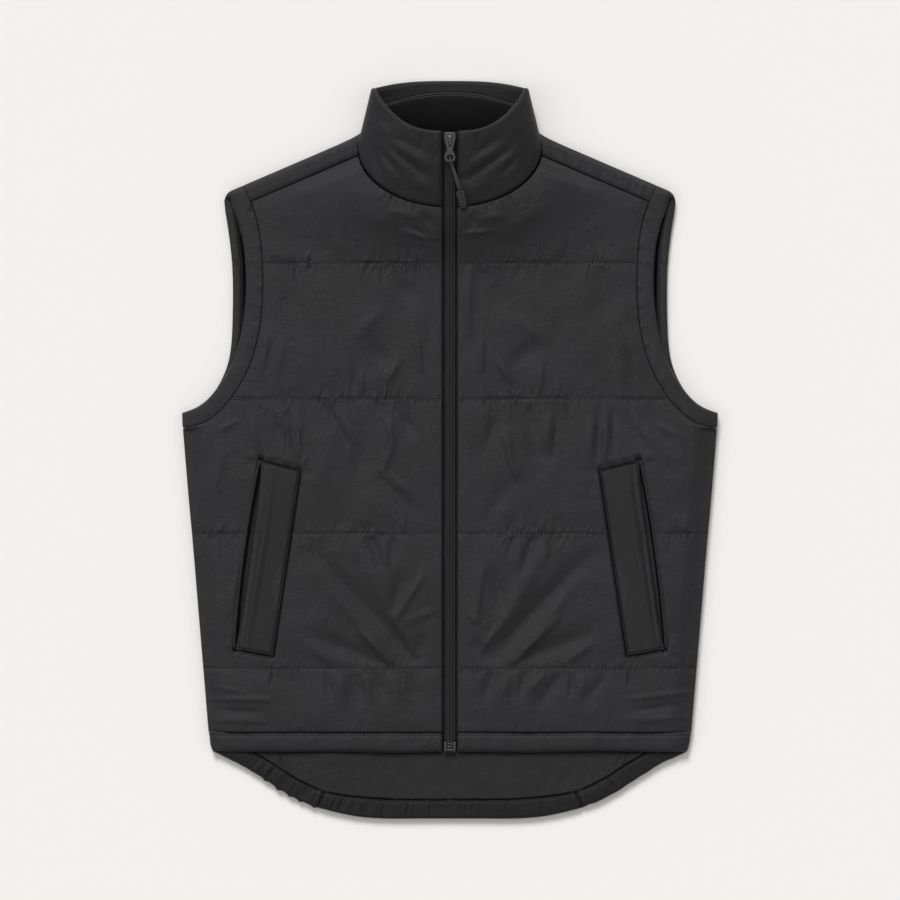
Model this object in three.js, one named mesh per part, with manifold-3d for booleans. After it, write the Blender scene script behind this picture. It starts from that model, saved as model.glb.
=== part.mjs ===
// A padded, sleeveless zip-up vest laid flat on its back, with its front up.
// Millimetres. +X is the wearer's left, +Y runs from the hem to the collar, +Z is up from the surface.
// The origin is under the middle of the vest, on the surface.
import * as THREE from "three";
import Module from "manifold-3d";

const wasm = await Module();
wasm.setup();

// Driving sizes of the whole garment, laid flat.
const LENGTH = 783; // top of the collar to the lowest point of the back hem
const CHEST = 568; // straight across under the arms
const HEM_WIDTH = 508; // straight across at the front hem
const TOP = LENGTH / 2;
const BOTTOM = -LENGTH / 2;

// Cloth walls.
const SEAM_GAP = 0.3;
const BACK_WALL = 5;
const LINING_WALL = 1;
const LINING_LEVEL = BACK_WALL + SEAM_GAP;
const INSIDE_LEVEL = LINING_LEVEL + LINING_WALL; // top of what lies inside the back
const FRONT_LEVEL = INSIDE_LEVEL + SEAM_GAP; // underside of the fronts
const SEAM_WALL = 3; // a front at its quilting stitches
const CROWN = 4.2; // how much higher the wadding stands between the stitches
const COLLAR_WALL = 5;
const BAND_WALL = 5; // armhole bands and the front hem
const BAND_WIDTH = 20;
const HEM_HEIGHT = 21;

// The zip runs up the middle, between two folded edges.
const ZIP_HALF_GAP = 7.8;

// Heights up the front, measured from the middle of the vest.
const HEM_LINE = -299; // seam between a front and its hem band
const QUILT_LINES = [-232, -88.5, 54, 198];
const NECK_LOW = 256; // neck seam at the zip

// The neck seam is half an ellipse in front and a shallow curve behind.
const NECK = { halfWidth: 98, drop: 65, sideY: 321, backY: 313 };
// The collar is a flattened tube that widens in height towards its top edge.
const COLLAR = { topHalfWidth: 83, baseHeight: 27, topHeight: 43, frontY: 336, sideY: 382.5, bulge: 1.6 };
const ROUNDNESS = 2.6; // 2 is an ellipse, more is flatter on the surface

// Shoulder: the back wraps over a straight fold and is sewn to the front on a line below it.
const SHOULDER = { neck: { x: 98, y: 331.9 }, tip: { x: 236.7, y: 272.2 }, forward: 19.5 };
const FOLD_RADIUS = 6.5;

// Tables of the curves of one half, from a seam's start to its end.
const SIDE = [
  { x: 283.3, y: 23.3 },
  { x: 277.4, y: -48 },
  { x: 272.7, y: -99 },
  { x: 266.8, y: -170 },
  { x: 260.5, y: -245 },
  { x: HEM_WIDTH / 2 + 2, y: HEM_LINE },
];
const FRONT_ARMHOLE = [
  // x and y are on the open edge, seamX and seamY on the line where the band is sewn to the front
  { x: 284, y: 39, seamX: 283.3, seamY: 23.3 },
  { x: 272, y: 43.2, seamX: 271.2, seamY: 25.2 },
  { x: 262, y: 49, seamX: 256.9, seamY: 30.5 },
  { x: 250, y: 61.5, seamX: 239.5, seamY: 45 },
  { x: 238.5, y: 78.7, seamX: 224.5, seamY: 65 },
  { x: 228.2, y: 98, seamX: 210.2, seamY: 93.9 },
  { x: 221, y: 127, seamX: 201.5, seamY: 127 },
  { x: 217, y: 158, seamX: 198.4, seamY: 160 },
  { x: 216.3, y: 187, seamX: 198.2, seamY: 192 },
  { x: 218.7, y: 215.4, seamX: 200.4, seamY: 222 },
  { x: 223.5, y: 237, seamX: 204.5, seamY: 243.7 },
  { x: 229.2, y: 253.3, seamX: 210, seamY: 260.9 },
];
const BACK_ARMHOLE = [
  { x: 238.2, y: 252, seamX: 217, seamY: 256 },
  { x: 235, y: 232, seamX: 214.5, seamY: 236 },
  { x: 231.8, y: 205, seamX: 211.8, seamY: 207 },
  { x: 230.4, y: 178, seamX: 210.5, seamY: 178 },
  { x: 230.6, y: 140, seamX: 210.7, seamY: 140 },
  { x: 232.2, y: 110, seamX: 213, seamY: 105 },
  { x: 236, y: 90, seamX: 219, seamY: 77.5 },
  { x: 243.5, y: 72, seamX: 229, seamY: 56.5 },
  { x: 254, y: 56.5, seamX: 242, seamY: 40.5 },
  { x: 268, y: 45.5, seamX: 259, seamY: 28.5 },
  { x: 284, y: 39, seamX: 283.3, seamY: 23.3 },
];
const TAIL = [
  // x and y are on the back's lower edge, seamX and seamY on the stitched top of its hem
  { x: 0, y: BOTTOM, seamX: 0, seamY: -371.5 },
  { x: 34, y: BOTTOM, seamX: 33, seamY: -371.5 },
  { x: 68, y: BOTTOM, seamX: 66, seamY: -371 },
  { x: 96, y: -389.6, seamX: 94, seamY: -369 },
  { x: 119, y: -385.3, seamX: 115, seamY: -366.6 },
  { x: 139.5, y: -379.8, seamX: 133, seamY: -363 },
  { x: 158.5, y: -372.4, seamX: 149.5, seamY: -356.3 },
  { x: 179.5, y: -361.2, seamX: 168, seamY: -346.4 },
  { x: 199.5, y: -347.9, seamX: 187.5, seamY: -333.6 },
  { x: 224.5, y: -333, seamX: 213, seamY: -319.2 },
  { x: 243.5, y: -324, seamX: 232, seamY: -309.5 },
  { x: 252, y: -318.5, seamX: 242, seamY: -303 },
  { x: 255, y: -306, seamX: 248, seamY: HEM_LINE },
];
const TAIL_JOINS = 6; // the row of TAIL where the middle hem piece meets a side one

// The largest soft folds of each front, as ridges (a negative height is a trough).
const FOLDS = {
  left: [
    { x0: 128, y0: -112, x1: 52, y1: -215, width: 15, height: 2.2 },
    { x0: 92, y0: -128, x1: 28, y1: -228, width: 12, height: -1.6 },
    { x0: 74, y0: 40, x1: 82, y1: -30, width: 12, height: 1.7 },
    { x0: 36, y0: 22, x1: 44, y1: -52, width: 11, height: 1.3 },
    { x0: 130, y0: 36, x1: 136, y1: -20, width: 10, height: 1.1 },
    { x0: 70, y0: 130, x1: 84, y1: 66, width: 14, height: 1.6 },
    { x0: 84, y0: -246, x1: 60, y1: -288, width: 12, height: 1.2 },
    { x0: 189, y0: -236, x1: 193, y1: -256, width: 6, height: -1.3 },
  ],
  right: [
    { x0: -136, y0: -116, x1: -50, y1: -218, width: 16, height: 2.3 },
    { x0: -98, y0: -122, x1: -34, y1: -212, width: 12, height: -1.7 },
    { x0: -68, y0: 44, x1: -78, y1: -40, width: 13, height: 1.6 },
    { x0: -112, y0: 40, x1: -118, y1: -12, width: 11, height: 1.2 },
    { x0: -158, y0: 30, x1: -160, y1: -4, width: 9, height: 1.1 },
    { x0: -76, y0: 138, x1: -86, y1: 66, width: 14, height: 1.7 },
    { x0: -58, y0: -240, x1: -78, y1: -286, width: 12, height: 1.3 },
    { x0: -189, y0: -236, x1: -193, y1: -256, width: 6, height: -1.3 },
  ],
};

// Gathers along the quilting stitches.
const GATHER = { height: 0.75, reach: 0.09, columns: 30 };

// Hand pockets: a padded welt, a slit along its outer side, and a narrow lip beyond the slit.
const POCKET = {
  outerTop: { x: 200, y: -10.5 },
  innerTop: { x: 158.5, y: -20.5 },
  outerBottom: { x: 227.4, y: -211.6 },
  innerBottom: { x: 187.7, y: -218.8 },
  wall: 4,
  slitWidth: 2.2,
  slitOut: 0.6, // from the welt to the slit
  lipWidth: 3.4,
  lipWall: 2,
};

// Zip: tapes with a raised coil side, a slider with a pull, and the box that closes the bottom.
const TAPE = { half: 7.5, middle: 0.15, wall: 1.4, coilHalf: 3.2, coilHeight: 2.6, lift: 1 };
const ZIP_BOX = { halfWidth: 6.4, length: 12, height: 3.6 };
const SLIDER = { length: 15, topHalf: 6, bottomHalf: 4.4, plate: 2.2, middleY: 327 };
const ARCH = { half: 1.2, foot: 4.5, bar: 1, opening: 2.9, footLength: 1 };
const PULL = {
  axisHeight: 1.4, // above the slider's plate
  wall: 1.4,
  bar: 0.8,
  topHalf: 3.6,
  neckHalf: 2.9,
  neckY: -11,
  ringHalf: 5.8,
  ringY: -18.4,
  endY: -23.6,
  slotHalf: 1.7,
  slotEnd: -7.2,
  holeX: 3.7,
  holeY: 3,
  restTilt: 1.5, // degrees, towards the cord that passes under it
};
const CORD_DIAMETER = 1.6;
const GRIP = { length: 19, half: 4.4, tipHalf: 3.9, wall: 3.2, x: 12.6, y: 264.8, turn: 14, lean: 13 };

// Looks.
const CLOTH = { color: 0x2f2e31, roughness: 0.62, metalness: 0 };
const LINING = { color: 0x242326, roughness: 0.72, metalness: 0 };
const TAPE_CLOTH = { color: 0x1d1d1f, roughness: 0.85, metalness: 0 };
const DARK_METAL = { color: 0x4a4a4d, roughness: 0.4, metalness: 0.9 };
const GRIP_RUBBER = { color: 0x2a2a2c, roughness: 0.7, metalness: 0 };

const DEGREE = Math.PI / 180;

// Numbers and points.
const lerp = (a, b, t) => a + (b - a) * t;
const clamp01 = (t) => Math.min(1, Math.max(0, t));
const smooth = (t) => clamp01(t) ** 2 * (3 - 2 * clamp01(t));
const steps = (count) => Array.from({ length: count + 1 }, (_, i) => i / count);
const point = (x, y, z) => new THREE.Vector3(x, y, z);

// A smooth curve through table rows, as [x, y] at a share of its length from 0 to 1.
function curveOf(rows, xKey = "x", yKey = "y") {
  const curve = new THREE.SplineCurve(rows.map((row) => new THREE.Vector2(row[xKey], row[yKey])));
  curve.arcLengthDivisions = 400;
  return (share) => {
    const at = curve.getPointAt(clamp01(share));
    return [at.x, at.y];
  };
}

// Solids.

// The four sides of a grid of points, in order round it.
function gridSides(rows, columns, index) {
  const along = (count, pick) => Array.from({ length: count }, (_, k) => pick(k));
  return [
    along(columns, (j) => index(0, j)),
    along(rows, (i) => index(i, columns - 1)),
    along(columns, (j) => index(rows - 1, columns - 1 - j)),
    along(rows, (i) => index(rows - 1 - i, 0)),
  ];
}

// Triangles between two lines of points that start and end side by side.
function stitch(lineA, lineB, faces) {
  let a = 0;
  let b = 0;
  while (a < lineA.length - 1 || b < lineB.length - 1) {
    const nextA = (a + 1) / (lineA.length - 1);
    const nextB = (b + 1) / (lineB.length - 1);
    if (b === lineB.length - 1 || (a < lineA.length - 1 && nextA <= nextB)) {
      faces.push(lineA[a + 1], lineA[a], lineB[b]);
      a += 1;
    } else {
      faces.push(lineA[a], lineB[b], lineB[b + 1]);
      b += 1;
    }
  }
}

// A closed wall of cloth between an outer and an inner grid of points, which may differ in how fine they are.
function wall(outer, inner) {
  const positions = [];
  const faces = [];
  const add = (grid) => {
    const start = positions.length / 3;
    grid.forEach((row) => row.forEach((p) => positions.push(p.x, p.y, p.z)));
    return (i, j) => start + i * grid[0].length + j;
  };
  const outerAt = add(outer);
  const innerAt = add(inner);
  const sheet = (grid, at, flip) => {
    for (let i = 0; i + 1 < grid.length; i += 1) {
      for (let j = 0; j + 1 < grid[0].length; j += 1) {
        const [a, b, c, d] = [at(i, j), at(i, j + 1), at(i + 1, j + 1), at(i + 1, j)];
        if (flip) faces.push(a, c, b, a, d, c);
        else faces.push(a, b, c, a, c, d);
      }
    }
  };
  sheet(outer, outerAt, false);
  sheet(inner, innerAt, true);
  const outerSides = gridSides(outer.length, outer[0].length, outerAt);
  const innerSides = gridSides(inner.length, inner[0].length, innerAt);
  outerSides.forEach((side, k) => stitch(side, innerSides[k], faces));
  return facingOut(positions, faces);
}

// Six times the volume inside the faces, which is negative when they point inwards.
function signedVolume(positions, faces) {
  const at = (k) => point(positions[3 * k], positions[3 * k + 1], positions[3 * k + 2]);
  let sum = 0;
  for (let k = 0; k < faces.length; k += 3) {
    sum += at(faces[k]).dot(at(faces[k + 1]).cross(at(faces[k + 2])));
  }
  return sum;
}

function facingOut(positions, faces) {
  if (signedVolume(positions, faces) < 0) {
    for (let k = 0; k < faces.length; k += 3) {
      [faces[k + 1], faces[k + 2]] = [faces[k + 2], faces[k + 1]];
    }
  }
  const geometry = new THREE.BufferGeometry();
  geometry.setAttribute("position", new THREE.Float32BufferAttribute(positions, 3));
  geometry.setIndex(faces);
  return geometry;
}

// Joins and cuts.
function solidFrom(geometry) {
  const source = geometry.index ? geometry : mergedByPlace(geometry);
  return new wasm.Manifold(
    new wasm.Mesh({
      numProp: 3,
      vertProperties: new Float32Array(source.getAttribute("position").array),
      triVerts: new Uint32Array(source.index.array),
    }),
  );
}

// An unindexed geometry with the vertices that share a place made one.
function mergedByPlace(geometry) {
  const from = geometry.getAttribute("position");
  const seen = new Map();
  const positions = [];
  const faces = [];
  const MICRON = 1000;
  for (let k = 0; k < from.count; k += 1) {
    const place = [from.getX(k), from.getY(k), from.getZ(k)];
    const key = place.map((v) => Math.round(v * MICRON)).join(" ");
    if (!seen.has(key)) {
      seen.set(key, positions.length / 3);
      positions.push(...place);
    }
    faces.push(seen.get(key));
  }
  const merged = new THREE.BufferGeometry();
  merged.setAttribute("position", new THREE.Float32BufferAttribute(positions, 3));
  merged.setIndex(faces.filter((_, k) => !isSliver(faces, k)));
  return merged;
}

// Whether the triangle that holds entry k has two corners in one place.
function isSliver(faces, k) {
  const first = k - (k % 3);
  const [a, b, c] = faces.slice(first, first + 3);
  return a === b || b === c || a === c;
}

function geometryFrom(solid) {
  const mesh = solid.getMesh();
  const geometry = new THREE.BufferGeometry();
  const positions = [];
  for (let k = 0; k < mesh.numVert; k += 1) {
    positions.push(...mesh.vertProperties.slice(k * mesh.numProp, k * mesh.numProp + 3));
  }
  geometry.setAttribute("position", new THREE.Float32BufferAttribute(positions, 3));
  geometry.setIndex([...mesh.triVerts]);
  return geometry;
}

const join = (first, ...others) =>
  geometryFrom(others.reduce((sum, g) => sum.add(solidFrom(g)), solidFrom(first)));
const cut = (from, ...tools) =>
  geometryFrom(tools.reduce((rest, g) => rest.subtract(solidFrom(g)), solidFrom(from)));

// A flat slab with an outline in X and Y, from one height to another, its lower edge rounded by a bevel.
function slab(outline, low, high, bevel = 0) {
  const shape = new THREE.Shape(outline.map(([x, y]) => new THREE.Vector2(x, y)));
  const geometry = new THREE.ExtrudeGeometry(shape, {
    depth: high - low - bevel,
    bevelEnabled: bevel > 0,
    bevelThickness: bevel / 2,
    bevelSize: bevel,
    bevelOffset: -bevel,
    bevelSegments: 2,
  });
  geometry.translate(0, 0, low + bevel / 2);
  geometry.deleteAttribute("normal");
  geometry.deleteAttribute("uv");
  return geometry;
}

// The left or right twin of a geometry.
function mirrored(geometry) {
  const positions = [...geometry.getAttribute("position").array];
  for (let k = 0; k < positions.length; k += 3) positions[k] = -positions[k];
  const source = geometry.index ? [...geometry.index.array] : [...steps(positions.length / 3 - 1)].map((_, k) => k);
  return facingOut(positions, source);
}

// The collar's ring.

// Half width and height of the collar's tube at a share of the way up it, moved in by an inset.
function collarSize(up, inset) {
  return {
    halfWidth: lerp(NECK.halfWidth, COLLAR.topHalfWidth, up) - inset,
    low: inset,
    high: lerp(COLLAR.baseHeight, COLLAR.topHeight, up) - inset,
  };
}

const superCos = (turn, power) => Math.sign(Math.cos(turn)) * Math.abs(Math.cos(turn)) ** power;
const superSin = (turn, power) => Math.sign(Math.sin(turn)) * Math.abs(Math.sin(turn)) ** power;

// How far towards the top a point of the collar lies, in Y: turn is 90 degrees at the zip, 0 at the side, -90 at the back.
function collarY(sideways, up, isFront) {
  const base = isFront
    ? NECK.sideY - NECK.drop * Math.sqrt(Math.max(0, 1 - sideways ** 2))
    : lerp(NECK.backY, NECK.sideY, sideways ** 2);
  const top = isFront
    ? lerp(COLLAR.frontY, COLLAR.sideY, sideways ** 3)
    : lerp(TOP, COLLAR.sideY, sideways ** 3);
  return lerp(base, top, up);
}

function collarPoint(turn, up, inset, bulge = 0) {
  const power = 2 / ROUNDNESS;
  const size = collarSize(up, inset);
  const swell = bulge * Math.sin(Math.PI * clamp01(up)) * Math.max(0, Math.sin(turn));
  const x = size.halfWidth * superCos(turn, power);
  const middle = (size.low + size.high) / 2;
  const z = middle + ((size.high - size.low) / 2) * superSin(turn, power) + swell;
  return point(x, collarY(Math.abs(superCos(turn, power)), up, Math.sin(turn) >= 0), z);
}

// The turn at which the collar's tube, moved in by an inset, meets the zip.
function collarStart(up, inset, edge) {
  const share = edge / collarSize(up, inset).halfWidth;
  return Math.acos(share ** (ROUNDNESS / 2));
}

// A grid over the collar, from the left of the zip round the back to its right.
const COLLAR_COLUMNS = 40;
function collarGrid(columns, rows, edge) {
  return rows.map(({ up, inset, bulge }) => {
    const start = collarStart(up, inset, edge);
    const sweep = Math.PI * 2 - 2 * (Math.PI / 2 - start);
    return steps(columns).map((share) => collarPoint(start - sweep * share, up, inset, bulge));
  });
}

// Heights of the front.

// The height of the collar's base over the surface, at a place across it.
function neckHeight(sideways) {
  const share = clamp01(Math.abs(sideways)) ** ROUNDNESS;
  return (COLLAR.baseHeight / 2) * (1 + (1 - share) ** (1 / ROUNDNESS));
}

const foldAlong = { x: 0.9186, y: -0.3953 }; // along the shoulder fold, away from the neck
const foldOut = { x: 0.3953, y: 0.9186 }; // across it, away from the vest

// How far a point lies below the seam at the shoulder.
function belowShoulder(x, y) {
  const offset = (Math.abs(x) - SHOULDER.neck.x) * foldOut.x + (y - SHOULDER.neck.y) * foldOut.y;
  return -offset - SHOULDER.forward;
}

// The fronts rise towards the neck to meet the collar.
const NECK_REACH = 0.62;
const SHOULDER_EASE = 16;
function neckRise(x, y) {
  const across = Math.abs(x) / NECK.halfWidth;
  const down = Math.max(0, (NECK.sideY - y) / NECK.drop);
  const out = Math.max(1, Math.hypot(across, down));
  const full = neckHeight(across / out) - FRONT_LEVEL - COLLAR_WALL;
  return Math.max(0, full) * Math.exp(-(((out - 1) / NECK_REACH) ** 2)) * smooth(belowShoulder(x, y) / SHOULDER_EASE);
}

// The height that the large folds of a front add at a point.
function foldHeight(folds, x, y) {
  return folds.reduce((sum, fold) => {
    const dx = fold.x1 - fold.x0;
    const dy = fold.y1 - fold.y0;
    const along = ((x - fold.x0) * dx + (y - fold.y0) * dy) / (dx * dx + dy * dy);
    const nearest = clamp01(along);
    const away = Math.hypot(x - fold.x0 - dx * nearest, y - fold.y0 - dy * nearest);
    const taper = Math.sin(Math.PI * clamp01(0.15 + 0.7 * nearest));
    return sum + fold.height * taper * Math.exp(-((away / fold.width) ** 2));
  }, 0);
}

// Fronts.

// The side seam ends and the armhole begins part of the way up the third band.
const UNDERARM_SHARE = (SIDE[0].y - QUILT_LINES[1]) / (QUILT_LINES[2] - QUILT_LINES[1]);
const NECK_SHARE = 13 / GATHER.columns; // of a front's width at the top, taken by the neck
const SHOULDER_SEAM = { neck: [95.6, 311.6], tip: [208.2, 262.8] };

// The bands between the quilting stitches, from the hem up: each has a lower line, an upper line and an outer edge.
function frontBands() {
  const side = curveOf(SIDE);
  const armhole = curveOf(FRONT_ARMHOLE, "seamX", "seamY");
  const sideX = (y) => findX(side, y);
  const armholeX = (y) => findX(armhole, y);
  const [quilt4, quilt3, quilt2, quilt1] = QUILT_LINES;
  const straight = (y, edgeX) => (u) => [lerp(ZIP_HALF_GAP, edgeX, u), y];
  const along = (curveX, low, high) => (w) => [curveX(lerp(low, high, w)), lerp(low, high, w)];
  const cornered = (w) =>
    w <= UNDERARM_SHARE
      ? [sideX(lerp(quilt3, SIDE[0].y, w / UNDERARM_SHARE)), lerp(quilt3, SIDE[0].y, w / UNDERARM_SHARE)]
      : armhole(shareAt(armhole, quilt2) * ((w - UNDERARM_SHARE) / (1 - UNDERARM_SHARE)));
  const topLine = (u) =>
    u <= NECK_SHARE
      ? neckSeam(lerp(ZIP_HALF_GAP, SHOULDER_SEAM.neck[0], u / NECK_SHARE))
      : [0, 1].map((k) => lerp(SHOULDER_SEAM.neck[k], SHOULDER_SEAM.tip[k], (u - NECK_SHARE) / (1 - NECK_SHARE)));
  return [
    { low: straight(HEM_LINE, sideX(HEM_LINE)), high: straight(quilt4, sideX(quilt4)), edge: along(sideX, HEM_LINE, quilt4) },
    { low: straight(quilt4, sideX(quilt4)), high: straight(quilt3, sideX(quilt3)), edge: along(sideX, quilt4, quilt3) },
    { low: straight(quilt3, sideX(quilt3)), high: straight(quilt2, armholeX(quilt2)), edge: cornered },
    { low: straight(quilt2, armholeX(quilt2)), high: straight(quilt1, armholeX(quilt1)), edge: along(armholeX, quilt2, quilt1) },
    { low: straight(quilt1, armholeX(quilt1)), high: topLine, edge: along(armholeX, quilt1, SHOULDER_SEAM.tip[1]) },
  ];
}

// Where a curve that climbs or falls steadily passes a height: its share, and its x.
function shareAt(curve, y) {
  const falling = curve(0)[1] > curve(1)[1];
  let [low, high] = [0, 1];
  for (let k = 0; k < 40; k += 1) {
    const middle = (low + high) / 2;
    if (curve(middle)[1] > y === falling) low = middle;
    else high = middle;
  }
  return (low + high) / 2;
}
const findX = (curve, y) => curve(shareAt(curve, y))[0];


// The neck seam of a front, just outside the collar's base.
function neckSeam(x) {
  const across = Math.min(1, x / NECK.halfWidth);
  return [x, NECK.sideY - NECK.drop * Math.sqrt(1 - across ** 2) - SEAM_GAP - 0.4 * across];
}

// A point of a band: u from the zip to the outer edge, w from its lower stitches to its upper ones.
function bandPoint(band, u, w) {
  const low = band.low(u);
  const high = band.high(u);
  const edge = band.edge(w);
  const lowEdge = band.low(1);
  const highEdge = band.high(1);
  return [0, 1].map((k) => lerp(low[k], high[k], w) + u * (edge[k] - lerp(lowEdge[k], highEdge[k], w)));
}

// How thick the padded wall is: pillowed between stitches, and thin where it is sewn or folded.
const EDGE_ROLL = 16;
const SIDE_ROLL = 26;
function paddedWall(w, toZip, toEdge, isSide) {
  const pillow = 1 - Math.abs(2 * w - 1) ** 3.5;
  const zipRoll = smooth(0.35 + (0.65 * toZip) / EDGE_ROLL);
  const edgeRoll = isSide ? smooth(toEdge / SIDE_ROLL) : smooth(0.1 + (0.9 * toEdge) / EDGE_ROLL);
  const seam = isSide ? lerp(2, SEAM_WALL, edgeRoll) : SEAM_WALL;
  return seam + CROWN * pillow * Math.min(zipRoll, edgeRoll);
}

// A number from 0 to 1 that is always the same for the same two whole numbers.
function scatter(a, b) {
  const value = Math.sin(a * 12.9898 + b * 78.233) * 43758.5453;
  return value - Math.floor(value);
}

const PLAIN_ROWS = [0, 0.045, 0.12, 0.3, 0.55, 0.8, 0.92, 0.965];
const CORNER_ROWS = [0, 0.045, 0.12, 0.3, 0.55, 0.7, UNDERARM_SHARE, 0.83, 0.875, 0.92, 0.965];
const ARMHOLE_ROWS = [0, 0.045, 0.12, 0.26, 0.42, 0.58, 0.74, 0.88, 0.955];
const BAND_ROWS = [PLAIN_ROWS, PLAIN_ROWS, CORNER_ROWS, ARMHOLE_ROWS, [...ARMHOLE_ROWS, 1]];
const INNER_COLUMNS = 6;
const INNER_INSET = 1.2; // the inside of a wall is this much smaller all round

function frontPanel(folds, seed) {
  const bands = frontBands();
  const outer = [];
  const inner = [];
  bands.forEach((band, number) => {
    BAND_ROWS[number].forEach((w, rowNumber) => {
      const columnCount = GATHER.columns;
      const edgePoint = band.edge(w);
      const isSide = edgePoint[1] < SIDE[0].y + 0.01;
      outer.push(
        steps(columnCount).map((u, j) => {
          const [x, y] = bandPoint(band, u, w);
          const width = edgePoint[0] - ZIP_HALF_GAP;
          const closeness = Math.max(0, 1 - Math.min(w, 1 - w) / GATHER.reach);
          const side = j % 2 ? 1 : -1;
          const strength = scatter(j + seed, number + (w > 0.5 ? 1 : 0)) ** 1.5;
          const onSeam = rowNumber === 0 || w === 1;
          const gather = onSeam ? 0 : side * GATHER.height * closeness * strength * clamp01(4 * u) * clamp01(6 * (1 - u));
          const thick = paddedWall(w, u * width, (1 - u) * width, isSide);
          const base = FRONT_LEVEL + neckRise(x, y);
          const fold = foldHeight(folds, x, y) * smooth(Math.min(w, 1 - w) / 0.12);
          return point(x, y, base + thick + gather + fold);
        }),
      );
      inner.push(
        steps(INNER_COLUMNS).map((u) => {
          const [x, y] = bandPoint(band, u, w);
          const insetX = INNER_INSET * (1 - 2 * u);
          const insetY = number === 0 && w === 0 ? INNER_INSET : w === 1 ? -INNER_INSET : 0;
          return point(x + insetX, y + insetY, FRONT_LEVEL + neckRise(x + insetX, y + insetY));
        }),
      );
    });
  });
  return wall(outer, inner);
}

// A front hem band: a rolled, padded edge below the hem seam.
const HEM_ROWS = [0, 0.15, 0.5, 0.85, 1];
function frontHem() {
  const topY = HEM_LINE - SEAM_GAP;
  const lowY = HEM_LINE - HEM_HEIGHT;
  const columns = 18;
  const edgeX = (w) => lerp(HEM_WIDTH / 2 + 1.8, HEM_WIDTH / 2 - 2.5, w);
  const dip = (u) => 1.4 * (1 - u); // the hem hangs a little lower at the zip
  const place = (u, w) => [lerp(ZIP_HALF_GAP, edgeX(w), u), lerp(topY, lowY - dip(u), w)];
  const outer = HEM_ROWS.map((w) =>
    steps(columns).map((u) => {
      const [x, y] = place(u, w);
      const roll = Math.min(1, 0.35 + 0.65 * Math.sin(Math.PI * w) ** 0.6);
      const sideRoll = smooth(0.3 + ((1 - u) * edgeX(w)) / SIDE_ROLL);
      return point(x, y, FRONT_LEVEL + BAND_WALL * roll * sideRoll + 0.4);
    }),
  );
  const inner = [0, 1].map((w) =>
    steps(columns).map((u) => {
      const [x, y] = place(u, w);
      return point(x, y + (w ? INNER_INSET : -INNER_INSET), FRONT_LEVEL);
    }),
  );
  return wall(outer, inner);
}

// Armhole bands.

// One strip that runs up the front armhole, over the shoulder fold and down the back one.
const BACK_STATIONS = 22;
const ACROSS = [
  // share from the open edge to the seam, and how full the strip is there
  { share: 0, full: 0.25 },
  { share: 0.2, full: 0.9 },
  { share: 0.75, full: 1 },
  { share: 0.975, full: 0.55 },
];
// Where the rows of a front's points meet the armhole seam, as shares of the seam's length.
function armholeShares() {
  const seam = curveOf(FRONT_ARMHOLE, "seamX", "seamY");
  const toCorner = shareAt(seam, QUILT_LINES[2]);
  const corner = CORNER_ROWS.filter((w) => w >= UNDERARM_SHARE);
  const heights = [ARMHOLE_ROWS, [...ARMHOLE_ROWS, 1]].flatMap((rows, k) =>
    rows.map((w) => lerp(QUILT_LINES[k + 2], k ? SHOULDER_SEAM.tip[1] : QUILT_LINES[3], w)),
  );
  return [
    ...corner.map((w) => (toCorner * (w - UNDERARM_SHARE)) / (1 - UNDERARM_SHARE)),
    ...heights.map((y) => shareAt(seam, y)),
  ];
}

function armholeBand() {
  const front = bandStations(FRONT_ARMHOLE, armholeShares());
  const back = bandStations(BACK_ARMHOLE, steps(BACK_STATIONS));
  const axisEdge = { x: SHOULDER.tip.x - FOLD_RADIUS * foldOut.x, y: SHOULDER.tip.y - FOLD_RADIUS * foldOut.y };
  const axisSeam = { x: axisEdge.x - BAND_WIDTH * foldAlong.x, y: axisEdge.y - BAND_WIDTH * foldAlong.y };
  const wrap = [10, 50, 90, 130, 170].map((degrees) => {
    const turn = degrees * DEGREE;
    const onRing = (share, radius) => {
      const x = lerp(axisEdge.x, axisSeam.x, share) + foldOut.x * radius * Math.sin(turn);
      const y = lerp(axisEdge.y, axisSeam.y, share) + foldOut.y * radius * Math.sin(turn);
      return point(x, y, FOLD_RADIUS + radius * Math.cos(turn));
    };
    const inside = 1.6;
    return {
      outer: ACROSS.map(({ share, full }) => onRing(share, lerp(inside + 1.5, FOLD_RADIUS, full))),
      inner: ACROSS.map(({ share }) => onRing(share, inside)),
    };
  });
  const stations = [...front, ...wrap, ...back];
  return wall(
    stations.map((s) => s.outer),
    stations.map((s) => s.inner),
  );
}

// The band's stations on the front (top side out) or on the back (underside out, flat on the surface).
function bandStations(rows, shares) {
  const edge = curveOf(rows);
  const seam = curveOf(rows, "seamX", "seamY");
  const isFront = rows === FRONT_ARMHOLE;
  return shares.map((along) => {
    const [edgeX, edgeY] = edge(along);
    const [seamX, seamY] = seam(along);
    const place = (share, z) => point(lerp(edgeX, seamX, share), lerp(edgeY, seamY, share), z);
    const underarm = isFront ? along : 1 - along;
    const side = smooth(0.25 + underarm / 0.18);
    if (isFront) {
      return {
        outer: ACROSS.map(({ share, full }) => place(share, FRONT_LEVEL + BAND_WALL * lerp(0.35, 1, full * side))),
        inner: ACROSS.map(({ share }) => place(lerp(0.06, 0.94, share), FRONT_LEVEL)),
      };
    }
    return {
      outer: ACROSS.map(({ share, full }) => place(share, full < 0.5 ? 1.5 : 0)),
      inner: ACROSS.map(({ share, full }) => place(share, full < 0.5 ? INSIDE_LEVEL - 1.5 : INSIDE_LEVEL)),
    };
  });
}

// Back.

// The right half of an outline, from the middle of its top to the middle of its bottom, made whole.
function bothHalves(half) {
  const inner = half.filter(([x]) => Math.abs(x) > 0.01);
  const ends = half.filter(([x]) => Math.abs(x) <= 0.01);
  return [ends[0], ...inner, ends[1], ...inner.map(([x, y]) => [-x, y]).reverse()];
}

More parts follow.
